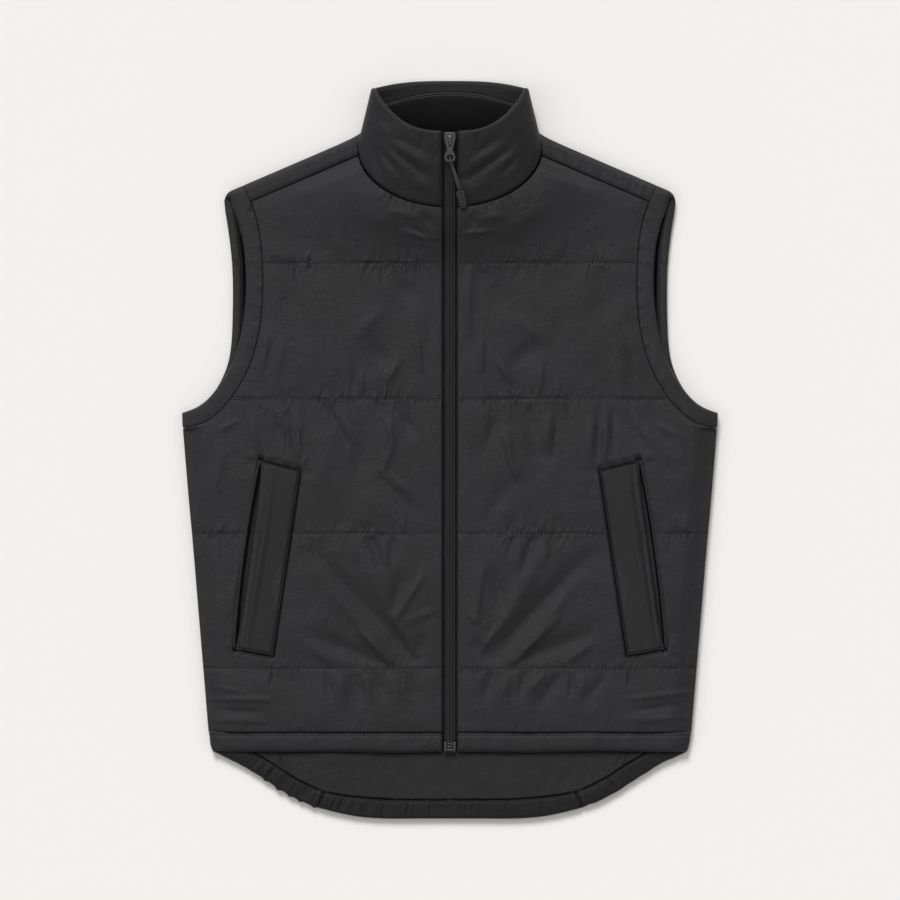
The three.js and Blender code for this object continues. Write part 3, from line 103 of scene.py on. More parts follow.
# Soft folds as ridges, or troughs where the height is negative: from, to, width and height.
FOLDS = {
    "left": (
        ((148, -113), (44, -219), 10.5, -2.3), ((136, -136), (66, -222), 7, 1.5), ((114, -179), (65, -228), 3.6, 1.7),
        ((144, -196), (76, -222), 8, -1.9), ((150, -206), (122, -226), 4.5, 1.1), ((96, -108), (52, -196), 9, 1.5),
        ((46, -130), (56, -166), 7, -1.4), ((34, -126), (28, -180), 4, 1.1), ((54, -186), (32, -214), 3.6, 1.1),
        ((40, -186), (12, -172), 3, 0.8), ((24, -200), (36, -216), 6, -1.0), ((214, -120), (232, -172), 9, 0.9),
        ((89, -84), (80, -126), 4.5, -1.3), ((62, -84), (64, -112), 3.6, -1.0), ((118, -96), (126, -84), 3, -0.8),
        ((74, -98), (72, -124), 3.6, 0.9), ((104, -100), (100, -118), 4, 0.7), ((84, 34), (96, -20), 11, -1.5),
        ((59, 15), (65, -12), 4.5, 1.5), ((65, -12), (72, -30), 4.5, 1.4), ((50, 36), (40, 4), 7, -1.2),
        ((114, 36), (109, -10), 3.4, -1.1), ((104, 34), (101, 2), 4, 0.9), ((158, 42), (156, -12), 4, -1.2),
        ((166, 40), (164, -10), 3, 1.1), ((173, 42), (173, -2), 2.8, -1.1), ((150, 30), (148, -6), 4, 0.9),
        ((184, 36), (206, 4), 7, -1.1), ((196, 30), (222, -2), 5, 0.9), ((64, -34), (40, -70), 8, -1.1),
        ((126, 20), (140, -40), 10, 0.8), ((238, 4), (252, -36), 7, 0.9), ((222, 26), (246, 12), 3, 0.8),
        ((45, -236), (37, -262), 6, -1.2), ((79, -238), (74, -258), 4, -1.1), ((62, -238), (56, -262), 5, 1.0),
        ((118, -238), (96, -266), 7, -1.3), ((130, -238), (128, -258), 3.4, -1.0), ((164, -240), (148, -262), 5, -0.9),
        ((100, -238), (84, -256), 4, 0.9), ((142, -240), (138, -262), 5, 0.8), ((190, -264), (252, -257), 3, 0.8),
        ((196, -276), (246, -270), 3.4, -0.7), ((188, -286), (250, -284), 3.4, 0.6), ((40, 172), (62, 150), 17, -1.6),
        ((20, 186), (18, 128), 6, 1.3), ((34, 118), (33, 84), 3.4, 1.1), ((72, 110), (84, 92), 16, -1.9),
        ((52, 94), (64, 74), 5, 1.6), ((96, 84), (94, 58), 3.4, 1.0), ((102, 92), (104, 62), 4, -0.8),
        ((74, 138), (98, 116), 6, 1.0), ((186, 112), (196, 76), 2.8, -1.0), ((176, 112), (184, 74), 4, 0.7),
        ((140, 120), (150, 80), 12, 0.8), ((170, 176), (160, 140), 13, -0.9), ((18, 246), (28, 236), 9, -1.3),
        ((14, 228), (48, 232), 2.6, 0.9), ((34, 244), (58, 248), 4, 0.8), ((60, 236), (96, 252), 9, 0.8),
        ((150, 236), (166, 216), 12, -0.8), ((120, 226), (112, 204), 7, 0.7), ((187, -226), (190, -250), 1.5, -1.3),
        ((200, -10), (213, -6), 1.6, 1.3), ((202, -14), (216, -15), 1.8, -1.2), ((158, -19), (149, -9), 1.6, 1.2),
        ((157, -24), (145, -22), 1.8, -1.1), ((228, -212), (237, -206), 1.6, 1.2), ((229, -214), (240, -220), 1.6, -1.1),
    ),
    "right": (
        ((-146, -109), (-38, -221), 10.5, -2.3), ((-138, -128), (-64, -222), 7, 1.5), ((-95, -192), (-61, -228), 3.6, 1.9),
        ((-148, -196), (-74, -226), 8, -1.9), ((-146, -208), (-128, -226), 4.5, 1.1), ((-92, -104), (-56, -186), 9, 1.5),
        ((-52, -132), (-58, -170), 7, -1.4), ((-29, -134), (-59, -179), 3.8, 1.3), ((-59, -179), (-36, -217), 3.8, 1.2),
        ((-44, -181), (-10, -168), 2.8, 0.9), ((-28, -198), (-32, -216), 6, -1.0), ((-212, -118), (-228, -170), 9, 0.9),
        ((-87, -83), (-74, -126), 4.5, -1.3), ((-60, -88), (-60, -112), 3.6, -0.9), ((-124, -92), (-118, -78), 3, -0.8),
        ((-70, -96), (-68, -122), 3.6, 0.9), ((-104, -98), (-100, -120), 4, 0.7), ((-90, 20), (-96, -26), 11, -1.6),
        ((-65, 31), (-61, 4), 4.5, 1.5), ((-61, 4), (-72, -22), 4.5, 1.4), ((-72, -22), (-42, -47), 4.5, 1.1),
        ((-52, 40), (-40, 18), 6, -1.3), ((-127, 42), (-108, 4), 3.4, -1.2), ((-118, 42), (-100, 8), 4, 0.9),
        ((-172, 40), (-172, -6), 2.8, -1.2), ((-160, 42), (-160, -8), 3, 1.1), ((-166, 40), (-165, -2), 2.4, 0.9),
        ((-190, 36), (-176, 4), 6, -1.1), ((-212, 34), (-204, 2), 4, 0.9), ((-60, -40), (-34, -72), 8, -1.1),
        ((-126, 14), (-142, -40), 10, 0.8), ((-240, 0), (-250, -40), 7, 0.9), ((-246, 20), (-226, 30), 3, 0.8),
        ((-131, -238), (-127, -262), 4, -1.0), ((-103, -238), (-98, -264), 8, -1.4), ((-78, -238), (-72, -260), 5, -1.1),
        ((-44, -238), (-36, -266), 7, -1.3), ((-90, -238), (-84, -262), 4, 0.9), ((-60, -240), (-54, -262), 6, 1.0),
        ((-118, -240), (-112, -266), 5, 0.9), ((-248, -251), (-226, -256), 3, 0.7), ((-252, -264), (-190, -265), 2.6, 0.8),
        ((-246, -276), (-200, -278), 3.4, -0.7), ((-250, -286), (-196, -288), 3, 0.6), ((-39, 176), (-50, 160), 18, -1.7),
        ((-74, 146), (-96, 124), 7, 1.2), ((-69, 108), (-80, 92), 16, -2.0), ((-55, 93), (-66, 74), 5, 1.6),
        ((-34, 117), (-31, 85), 3, 1.1), ((-94, 80), (-93, 58), 3, 1.0), ((-100, 88), (-101, 62), 4, -0.8),
        ((-18, 176), (-19, 126), 6, -0.8), ((-194, 85), (-189, 114), 2.8, -1.0), ((-182, 80), (-178, 112), 4, 0.7),
        ((-150, 118), (-154, 78), 12, 0.8), ((-172, 178), (-166, 140), 13, -0.9), ((-18, 246), (-26, 238), 9, -1.4),
        ((-52, 231), (-12, 222), 2.4, 0.9), ((-44, 238), (-14, 218), 2.4, -0.8), ((-36, 246), (-62, 252), 4, 0.8),
        ((-60, 238), (-94, 250), 9, 0.8), ((-176, 232), (-146, 212), 12, -0.9), ((-122, 226), (-114, 206), 7, 0.7),
        ((-187, -226), (-190, -250), 1.5, -1.3), ((-200, -10), (-212, -5), 1.6, 1.3), ((-202, -13), (-217, -12), 1.8, -1.2),
        ((-158, -19), (-151, -8), 1.6, 1.2), ((-157, -24), (-144, -24), 1.8, -1.1), ((-228, -212), (-238, -207), 1.6, 1.2),
    ),
    "collar": (
        ((-62, 316), (-25, 289), 3.4, -1.5), ((-56, 322), (-22, 298), 4, 0.9), ((-75, 317), (-54, 293), 3.4, -1.2),
        ((-68, 320), (-46, 292), 4, 0.8), ((-59, 330), (-24, 313), 5, -1.0), ((-82, 346), (-62, 330), 6, 0.9),
        ((-29, 334), (-28, 322), 1.4, -1.1), ((-17, 316), (-13, 305), 4, -1.0), ((-86, 326), (-72, 290), 5, -0.8),
        ((-44, 286), (-16, 272), 5, 0.7), ((62, 316), (20, 286), 3.4, -1.5), ((20, 286), (9, 285), 3.4, -1.1),
        ((56, 324), (20, 297), 4, 0.9), ((72, 307), (55, 293), 3.4, -1.2), ((70, 318), (48, 292), 4, 0.7),
        ((52, 327), (28, 313), 5, -1.1), ((82, 348), (62, 332), 6, 0.9), ((30, 334), (29, 322), 1.4, -1.1),
        ((86, 324), (74, 292), 5, -0.8), ((44, 284), (16, 270), 5, 0.7), ((94, 312), (80, 286), 4, -0.8),
    ),
}
LINING_FOLDS = (
    ((-187, -316), (-180, -338), 1.8, 1.3), ((-183, -316), (-176, -337), 1.6, -1.1), ((-179, -316), (-171, -340), 1.8, 1.3),
    ((188, -316), (181, -336), 1.8, 1.3), ((184, -316), (178, -335), 1.6, -1.1), ((179, -316), (175, -333), 1.8, 1.2),
    ((130, -326), (112, -352), 4, 0.7), ((-126, -324), (-104, -356), 4, 0.7),
    ((30, -330), (44, -362), 6, 0.6), ((-50, -334), (-38, -364), 5, -0.6),
)
# Each sewn line's height, the stretches that pucker most, as shares from the zip, and how much it puckers.
PUCKERED = (
    (-299.0, ((0.1, 0.9),), 0.5),
    (-232.0, ((0.05, 0.45), (0.6, 0.75)), 0.55),
    (-88.5, ((0.14, 0.62), (0.18, 0.4), (0.82, 0.98)), 1.0),
    (54.0, ((0.1, 0.3), (0.42, 0.62), (0.14, 0.9)), 1.0),
    (198.0, ((0.02, 0.5), (0.12, 0.45), (0.74, 0.86)), 1.0),
)

DEGREE = math.pi / 180
# What places on the left side are multiplied by, to lie on either side.
MIRROR = {1: (1, 1, 1), -1: (-1, 1, 1)}


def lerp(a, b, t):
    """The value a share t of the way from a to b."""
    return a + (b - a) * t


def smooth(t):
    """A soft step from 0 to 1."""
    t = np.clip(t, 0, 1)
    return t * t * (3 - 2 * t)


# Curves through the measured places.


def curve_through(rows, x_at=0, y_at=1):
    """A smooth curve through the rows of a table, as x and y at a share of its length."""
    points = np.array([(row[x_at], row[y_at]) for row in rows], float)
    ends = np.vstack([points[:1], points, points[-1:]])
    fine = [points[0]]
    for k in range(len(points) - 1):
        a, b, c, d = ends[k:k + 4]
        for t in np.linspace(0, 1, 33)[1:]:
            bend, turn = 2 * a - 5 * b + 4 * c - d, 3 * b - a - 3 * c + d
            fine.append(0.5 * (2 * b + (c - a) * t + bend * t**2 + turn * t**3))
    fine = np.array(fine)
    run = np.concatenate([[0], np.cumsum(np.hypot(*np.diff(fine, axis=0).T))])
    return lambda share: np.array([np.interp(np.asarray(share) * run[-1], run, fine[:, k]) for k in (0, 1)])


side_seam = curve_through(SIDE)
front_armhole_edge = curve_through(FRONT_ARMHOLE)
front_armhole_seam = curve_through(FRONT_ARMHOLE, 2, 3)
back_armhole_edge = curve_through(BACK_ARMHOLE)
back_armhole_seam = curve_through(BACK_ARMHOLE, 2, 3)
tail_edge = curve_through(TAIL)
tail_seam = curve_through(TAIL, 2, 3)


def share_at(curve, y):
    """Where a curve that climbs or falls steadily passes a height."""
    shares = np.linspace(0, 1, 1500)
    heights = curve(shares)[1]
    if heights[0] > heights[-1]:
        return float(np.interp(-y, -heights, shares))
    return float(np.interp(y, heights, shares))


def x_at(curve, y):
    """How far out a curve is at a height."""
    return float(curve(share_at(curve, y))[0])


# Heights of the cloth.


def neck_height(sideways):
    """The height of the collar's foot, at a share of its width."""
    share = np.clip(np.abs(sideways), 0, 1) ** ROUNDNESS
    return COLLAR_BASE / 2 * (1 + (1 - share) ** (1 / ROUNDNESS))


def neck_rise(x, y):
    """How much the fronts rise to meet the collar."""
    across = np.abs(x) / NECK_HALF
    down = np.maximum(0, (NECK_SIDE - y) / NECK_DROP)
    out = np.maximum(1, np.hypot(across, down))
    full = np.maximum(0, neck_height(across / out) - FRONT_LEVEL - COLLAR_WALL)
    offset = (np.abs(x) - SHOULDER_NECK[0]) * FOLD_OUT[0] + (y - SHOULDER_NECK[1]) * FOLD_OUT[1]
    return full * np.exp(-(((out - 1) / 0.62) ** 2)) * smooth((-offset - SHOULDER_FORWARD) / 16)


def fold_height(folds, x, y):
    """The soft ridges and troughs of a table, at each place."""
    total = np.zeros_like(x)
    for (x0, y0), (x1, y1), width, height in folds:
        dx, dy = x1 - x0, y1 - y0
        along = np.clip(((x - x0) * dx + (y - y0) * dy) / (dx * dx + dy * dy), 0, 1)
        away = np.hypot(x - x0 - dx * along, y - y0 - dy * along)
        total += height * np.sin(np.pi * (0.15 + 0.7 * along)) * np.exp(-((away / width) ** 2))
    return total


def crease_height(creases, x, y):
    """Short creases that start at a seam: sharp there, wider and lower further in."""
    total = np.zeros_like(x)
    for x0, y0, dx, dy, length, width, height in creases:
        along = ((x - x0) * dx + (y - y0) * dy) / length
        across = (x - x0) * dy - (y - y0) * dx
        near = (along > -0.08) & (along < 1) & (np.abs(across) < 4 * width)
        if not near.any():
            continue
        a, c = np.clip(along[near], 0, 1), across[near]
        rise = np.minimum(1, (a + 0.05) / 0.2) * (1 - a) ** 1.6
        total[near] += height * rise * np.exp(-((c / (width * (0.55 + 0.8 * a))) ** 2))
    return total


def creases_from(seam, count, side, seed, length=(5, 24), height=0.8, lean=0.22, width=(0.9, 2.3),
                 dense=((0.02, 0.98),)):
    """Creases along a seam, most of them in its dense stretches, all on one side of it."""
    chance = np.random.default_rng(seed)
    rows = []
    for k in range(count):
        gathered = chance.uniform() < 0.82
        share = float(chance.uniform(*(dense[k % len(dense)] if gathered else (0.01, 0.99))))
        x0, y0 = seam(share)
        (ax, ay), (bx, by) = seam(max(0, share - 0.01)), seam(min(1, share + 0.01))
        reach = math.hypot(bx - ax, by - ay)
        nx, ny = -(by - ay) / reach * side, (bx - ax) / reach * side
        turn = chance.normal(0, lean)
        dx = nx * math.cos(turn) - ny * math.sin(turn)
        dy = nx * math.sin(turn) + ny * math.cos(turn)
        size = chance.uniform(0.3, 1) ** 1.3 * (1 if gathered else 0.6)
        long, wide = lerp(*length, size * chance.uniform(0.5, 1)), lerp(*width, chance.uniform(0, 1) * size)
        rise = height * size * (1 if chance.uniform() < 0.56 else -0.8)
        rows.append((float(x0), float(y0), dx, dy, long, wide, rise))
    return rows


def ripple(x, y, seed, height=0.22):
    """A slow unevenness of the wadding."""
    chance = np.random.default_rng(seed)
    total = np.zeros_like(x)
    for _ in range(14):
        angle, length, start = chance.uniform(0, math.pi), chance.uniform(26, 95), chance.uniform(0, 6.3)
        total += np.sin((x * math.cos(angle) + y * math.sin(angle)) / length * 6.283 + start) * length / 95
    return total * height / 2.2


def straight(start, end):
    """A straight line as x and y at a share of its length."""
    return lambda share: (lerp(start[0], end[0], share), lerp(start[1], end[1], share))


# Making pieces.


def finish_piece(shape, name, look, smooth_faces=True):
    """Turns a bmesh in millimetres into a piece of the vest."""
    bmesh.ops.scale(shape, vec=(MM, MM, MM), verts=shape.verts)
    mesh = bpy.data.meshes.new(name)
    shape.to_mesh(mesh)
    shape.free()
    mesh.polygons.foreach_set("use_smooth", [smooth_faces] * len(mesh.polygons))
    piece = bpy.data.objects.new(name, mesh)
    bpy.context.scene.collection.objects.link(piece)
    mesh.materials.append(look)
    return piece


def loft(rings):
    """A bmesh skin over rings of points, closed round each ring and filled at both ends."""
    rings = np.asarray(rings, float)
    stations, around = rings.shape[:2]
    shape = bmesh.new()
    bmesh.ops.create_grid(shape, x_segments=around, y_segments=stations - 1, size=0.5)
    for vert in shape.verts:
        i = round((vert.co.x + 0.5) * around) % around
        j = round((vert.co.y + 0.5) * (stations - 1))
        vert.co = rings[j, i]
    bmesh.ops.remove_doubles(shape, verts=shape.verts, dist=0.0002)
    bmesh.ops.holes_fill(shape, edges=[edge for edge in shape.edges if edge.is_boundary], sides=0)
    bmesh.ops.recalc_face_normals(shape, faces=shape.faces)
    return shape


def wear(piece, body="vest"):
    """Puts a piece on its body."""
    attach(piece, body)
    return piece


def dress(piece, *nodes, body="vest", slot="shell"):
    """Lets a piece stand for solids."""
    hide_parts(*nodes)
    return wear(piece, body)


def ring_of(top, under):
    """One ring: along the top, then back along the underside."""
    return np.vstack([top, under[::-1]])


def sealed(rings, top_count):
    """Rings with one more at each end, drawn together on a line half way between top and underside."""
    def seal(ring):
        top, under = ring[:top_count], ring[top_count:][::-1]
        apart = np.linalg.norm(top[:, None, :2] - under[None, :, :2], axis=2)
        middle = (under + top[apart.argmin(axis=0)]) / 2
        return ring_of(middle[apart.argmin(axis=1)], middle)
    rings = list(rings)
    return [seal(rings[0]), *rings, seal(rings[-1])]


# Looks.


class Number:
    """A shader socket that takes part in sums."""

    def __init__(self, finish, socket):
        self.finish, self.socket = finish, socket

    def _math(self, operation, a, b):
        return self.finish.node("ShaderNodeMath", {"operation": operation}, {0: a, 1: b})

    def __add__(self, other):
        return self._math("ADD", self, other)

    def __sub__(self, other):
        return self._math("SUBTRACT", self, other)

    def __rsub__(self, other):
        return self._math("SUBTRACT", other, self)

    def __mul__(self, other):
        return self._math("MULTIPLY", self, other)

    def __pow__(self, other):
        return self._math("POWER", self, other)

    __radd__, __rmul__ = __add__, __mul__

    def sine(self):
        return self._math("SINE", self, 0)

    def size(self):
        return self._math("ABSOLUTE", self, 0)


class Finish:
    """One material: a main shader, with nodes added by type."""

    def __init__(self, name, **constants):
        self.material = bpy.data.materials.new(name)
        self.material.use_nodes = True
        self.tree = self.material.node_tree
        self.shader = self.tree.nodes["Principled BSDF"]
        for socket, value in constants.items():
            self.shader.inputs[socket.replace("_", " ")].default_value = value

    def node(self, kind, settings=None, inputs=None, output=0):
        """A node of a type, with its settings and the values or links of its sockets."""
        made = self.tree.nodes.new(kind)
        for name, value in (settings or {}).items():
            setattr(made, name, value)
        for name, value in (inputs or {}).items():
            self.feed(made.inputs[name], value)
        return Number(self, made.outputs[output])

    def feed(self, socket, value):
        if isinstance(value, Number):
            self.tree.links.new(value.socket, socket)
        else:
            socket.default_value = value

    def paint(self, **values):
        for name, value in values.items():
            self.feed(self.shader.inputs[name.replace("_", " ")], value)

    def place(self):
        """Object coordinates, and their x, y and z."""
        spot = self.node("ShaderNodeTexCoord", output="Object")
        split = self.tree.nodes.new("ShaderNodeSeparateXYZ")
        self.tree.links.new(spot.socket, split.inputs[0])
        return (spot, *(Number(self, split.outputs[k]) for k in range(3)))

    def noise(self, spot, scale, detail=3, roughness=0.55, distortion=0.0):
        return self.node("ShaderNodeTexNoise", {}, {"Vector": spot, "Scale": scale, "Detail": detail,
                                                  "Roughness": roughness, "Distortion": distortion})

    def blend(self, factor, a, b):
        mixed = self.tree.nodes.new("ShaderNodeMix")
        mixed.data_type = "RGBA"
        self.feed(mixed.inputs["Factor"], factor)
        self.feed(mixed.inputs[6], (*a, 1) if isinstance(a, tuple) else a)
        self.feed(mixed.inputs[7], (*b, 1) if isinstance(b, tuple) else b)
        return Number(self, mixed.outputs[2])

    def clipped(self, value):
        return self.node("ShaderNodeMath", {"operation": "ADD", "use_clamp": True}, {0: value, 1: 0})

    def relief(self, height, distance):
        self.paint(Normal=self.node("ShaderNodeBump", {}, {"Height": height, "Distance": distance, "Strength": 1.0}))


def woven(name, dark, light, pitch, roughness, crinkle, sheen,
          gloss=0.4, weave_depth=0.00004, gathered=(), painted_shade_span=None):
    """A plain-woven cloth with fine crinkles, more of them at its gathered lines, that may have painted shade: darker
    towards the low end of a span of heights.
    """
    cloth = Finish(name, Sheen_Weight=sheen, Sheen_Roughness=0.45, Specular_IOR_Level=gloss)
    spot, x, y, _ = cloth.place()
    threads = 2 * math.pi / pitch
    weave = (x * threads).sine() * (y * threads).sine()
    cloud = cloth.noise(spot, 9, 4, 0.6, 0.4)
    fine = cloth.noise(spot, 62, 5, 0.62, 1.1)
    broad = cloth.noise(spot, 21, 3, 0.5, 0.7)
    folded = 1 - (fine * 2 - 1).size()
    tone = cloud * 1.5 + fine * 0.2 - 0.4
    if painted_shade_span:
        low, high = painted_shade_span
        # Painted shade: the tone runs from dark at the low height up to full at the high one.
        tone = cloth.clipped((y - low * MM) * (1 / (high - low) / MM)) + fine * 0.1
    gathers = 0
    for line in gathered:
        off = (y - line * MM) * 230
        gathers = gathers + (off * off + 1) ** -2
    if gathered:
        drawn_out = cloth.node("ShaderNodeVectorMath", {"operation": "MULTIPLY"}, {0: spot, 1: (1, 0.1, 1)})
        comb = cloth.noise(drawn_out, 300, 2, 0.5)
        gathers = gathers * cloth.clipped(cloth.noise(spot, 16, 2) * 6 - 2.5) * (comb - 0.5) * 0.0045
    cloth.paint(
        Base_Color=cloth.blend(tone + weave * 0.06, dark, light),
        Roughness=cloud * 0.16 + (roughness - 0.1) + fine * 0.06,
    )
    cloth.relief(folded * crinkle + broad * (crinkle * 3.2) + weave * weave_depth + gathers, 1.0)
    return cloth.material


def smooth_metal(name, colour, roughness):
    """Plated metal, a little worn."""
    metal = Finish(name, Metallic=0.85, Specular_IOR_Level=0.5)
    worn = metal.noise(metal.place()[0], 900, 4, 0.6)
    metal.paint(Base_Color=metal.blend(worn, tuple(c * 0.75 for c in colour), tuple(c * 1.3 for c in colour)),
                Roughness=worn * 0.2 + (roughness - 0.1))
    metal.relief(worn, 0.00002)
    return metal.material


def moulded(name, colour, roughness):
    """Plastic with a fine grain."""
    soft = Finish(name, Specular_IOR_Level=0.4)
    grain = soft.noise(soft.place()[0], 1400, 3, 0.6)
    soft.paint(Base_Color=soft.blend(grain, tuple(c * 0.85 for c in colour), tuple(c * 1.15 for c in colour)),
               Roughness=grain * 0.12 + (roughness - 0.06))
    soft.relief(grain, 0.00003)
    return soft.material


# Each cloth: darker and lighter shade, thread spacing, roughness, crinkles, sheen and gloss.
SHELL = woven("shell nylon", (0.0098, 0.0101, 0.0099), (0.0157, 0.0137, 0.0190), 0.00042, 0.48, 0.0005, 0.06, 0.28,
              gathered=QUILT_LINES)
COLLAR = woven("collar nylon", (0.0079, 0.0082, 0.0080), (0.0126, 0.0110, 0.0148), 0.00042, 0.48, 0.0005, 0.06, 0.26)
TRIM = woven("trim nylon", (0.0086, 0.0085, 0.0087), (0.0126, 0.0119, 0.0134), 0.00042, 0.5, 0.0003, 0.05, 0.26)
FACING = woven("facing nylon", (0.0061, 0.0060, 0.0063), (0.0092, 0.0087, 0.0098), 0.00042, 0.55, 0.0004, 0.04, 0.22)
LINING = woven("lining cloth", (0.0102, 0.0097, 0.0105), (0.0150, 0.0140, 0.0159), 0.0003, 0.56, 0.0005, 0.06, 0.26)
# The collar's lining: dark cloth with painted shade that darkens it to near black towards the bottom of the collar's
# inside.
INNER_SHADED = woven("neck lining with painted shade", (0.0016, 0.0016, 0.0017), (0.0112, 0.0108, 0.0117), 0.0003, 0.8, 0.0003, 0.01, 0.06,
              painted_shade_span=(334, 376))
PIPING = woven("neck piping", (0.022, 0.022, 0.0225), (0.036, 0.0355, 0.037), 0.0006, 0.5, 0.00005, 0.1, 0.35)
# Near-black painted shade, laid as tubes deep in the seams and gaps where their shadow falls.
SEAM_SHADE = woven("painted seam shade", (0.0016, 0.0016, 0.0017), (0.0034, 0.0034, 0.0035), 0.0004, 0.85, 0.00001, 0.0, 0.05)
TAPE = woven("zip tape", (0.0105, 0.0105, 0.011), (0.0205, 0.0205, 0.0215), 0.0009, 0.8, 0.00004, 0.05, 0.25, 0.00012)
THREAD = woven("sewing thread", (0.006, 0.006, 0.0064), (0.012, 0.012, 0.013), 0.0004, 0.7, 0.00001, 0.1)
COIL = moulded("zip coil", (0.026, 0.026, 0.027), 0.42)
METAL = smooth_metal("dark zinc", (0.11, 0.11, 0.114), 0.36)
DARK_METAL = smooth_metal("shadowed zinc", (0.028, 0.028, 0.029), 0.42)
GRIP = moulded("grip moulding", (0.016, 0.016, 0.017), 0.62)


def cord_look():
    """A fine round braid, its strands crossing round the cord."""
    cord = Finish("braided cord", Specular_IOR_Level=0.3)
    around = cord.node("ShaderNodeTexCoord", output="UV")
    split = cord.tree.nodes.new("ShaderNodeSeparateXYZ")
    cord.tree.links.new(around.socket, split.inputs[0])
    u, v = (Number(cord, split.outputs[k]) for k in (0, 1))
    braid = (u * 300 + v * 12.566).sine() * (u * 300 - v * 12.566).sine()
    cord.paint(Base_Color=cord.blend(braid * 0.5 + 0.5, (0.03, 0.03, 0.031), (0.075, 0.075, 0.078)),
               Roughness=braid * 0.1 + 0.7)
    cord.relief(braid, 0.00008)
    return cord.material


CORD = cord_look()


# The two fronts.


def climb(curve, low, high):
    """A band's outer edge along a curve, between two heights."""
    return lambda w: (x_at(curve, lerp(low, high, w)), lerp(low, high, w))


def cornered(armhole):
    """The outer edge of the band that has the foot of an armhole in it."""
    _, low, high, _ = QUILT_LINES
    corner, to_corner = (SIDE[0][1] - low) / (high - low), share_at(armhole, high)

    def edge(w):
        if w <= corner:
            y = lerp(low, SIDE[0][1], w / corner)
            return x_at(side_seam, y), y
        return tuple(armhole(to_corner * (w - corner) / (1 - corner)))

    return edge


def front_bands():
    """The bands between the quilting stitches: lower line, upper line and outer edge."""
    quilt4, quilt3, quilt2, quilt1 = QUILT_LINES

    def top_line(u):
        neck_x = lerp(ZIP_HALF_GAP, SHOULDER_SEAM[0][0], np.minimum(1, u / NECK_SHARE))
        across = np.minimum(1, neck_x / NECK_HALF)
        neck_y = NECK_SIDE - NECK_DROP * np.sqrt(1 - across**2) - 0.3 - 0.4 * across
        beyond = np.maximum(0, (u - NECK_SHARE) / (1 - NECK_SHARE))
        x = np.where(u <= NECK_SHARE, neck_x, lerp(SHOULDER_SEAM[0][0], SHOULDER_SEAM[1][0], beyond))
        y = np.where(u <= NECK_SHARE, neck_y, lerp(SHOULDER_SEAM[0][1], SHOULDER_SEAM[1][1], beyond))
        return x, y

    def line(y):
        edge_x = x_at(side_seam if y < SIDE[0][1] else front_armhole_seam, y)
        return lambda u: (lerp(ZIP_HALF_GAP, edge_x, u), np.full_like(u, y))

    return (
        (line(HEM_LINE), line(quilt4), climb(side_seam, HEM_LINE, quilt4)),
        (line(quilt4), line(quilt3), climb(side_seam, quilt4, quilt3)),
        (line(quilt3), line(quilt2), cornered(front_armhole_seam)),
        (line(quilt2), line(quilt1), climb(front_armhole_seam, quilt2, quilt1)),
        (line(quilt1), top_line, climb(front_armhole_seam, quilt1, SHOULDER_SEAM[1][1])),
    )


def band_row(band, u, w):
    """A row of places across a band, with the distance to its outer edge and whether that is the side seam."""
    low, high, edge = band
    (lx, ly), (hx, hy), (ex, ey) = low(u), high(u), edge(w)
    (lex, ley), (hex_, hey) = (end(np.array([1.0])) for end in (low, high))
    x = lerp(lx, hx, w) + u * (ex - lerp(lex, hex_, w))
    y = lerp(ly, hy, w) + u * (ey - lerp(ley, hey, w))
    return x, y, (1 - u) * (ex - ZIP_HALF_GAP), ey < SIDE[0][1] + 0.01


def neck_seam(reach, start, rise=0.0):
    """The line where fronts and collar meet, from one place across to another."""
    def place(share):
        x = lerp(start, reach, share)
        return x, NECK_SIDE - NECK_DROP * math.sqrt(1 - (x / NECK_HALF) ** 2) + rise
    return place


def front_seam_creases(seed):
    """The creases of one front, along every seam that it has."""
    rows = []
    for k, (y, dense, strength) in enumerate(PUCKERED):
        seam = straight((ZIP_HALF_GAP + 3, y), (x_at(side_seam if y < SIDE[0][1] else front_armhole_seam, y) - 5, y))
        for side in (1, -1) if y > HEM_LINE else (1,):
            first = seed + 10 * k + side
            rows += creases_from(seam, 140, side, first, (3, 10), 1.0 * strength, 0.15, (0.7, 1.15), dense)
            rows += creases_from(seam, 38, side, first + 2, (12, 38), 1.1 * strength, 0.3, (1.5, 3.6), dense)
    neck = neck_seam(92, 10)
    rows += creases_from(neck, 80, -1, seed + 70, (3, 10), 0.8, 0.12, (0.7, 1.1), ((0.34, 0.66), (0.05, 0.9)))
    rows += creases_from(neck, 26, -1, seed + 71, (6, 24), 0.9, dense=((0.3, 0.62), (0.05, 0.9)))
    rows += creases_from(straight(*SHOULDER_SEAM), 26, -1, seed + 80, (4, 14), 0.35)
    rows += creases_from(lambda share: tuple(front_armhole_seam(share)), 56, 1, seed + 90, (4, 16), 0.4)
    rows += creases_from(lambda share: tuple(side_seam(share)), 44, -1, seed + 100, (5, 22), 0.5)
    beside_zip = straight((ZIP_HALF_GAP + 1, HEM_LINE + 4), (ZIP_HALF_GAP + 1, NECK_LOW - 6))
    rows += creases_from(beside_zip, 90, -1, seed + 110, (3, 12), 0.35, width=(0.8, 1.6))
    return rows


def edge_spread(count, bunching=0.55):
    """Shares from 0 to 1 that lie closer near both ends."""
    t = np.linspace(0, 1, count)
    return lerp(t, 0.5 - 0.5 * np.cos(np.pi * t), bunching)


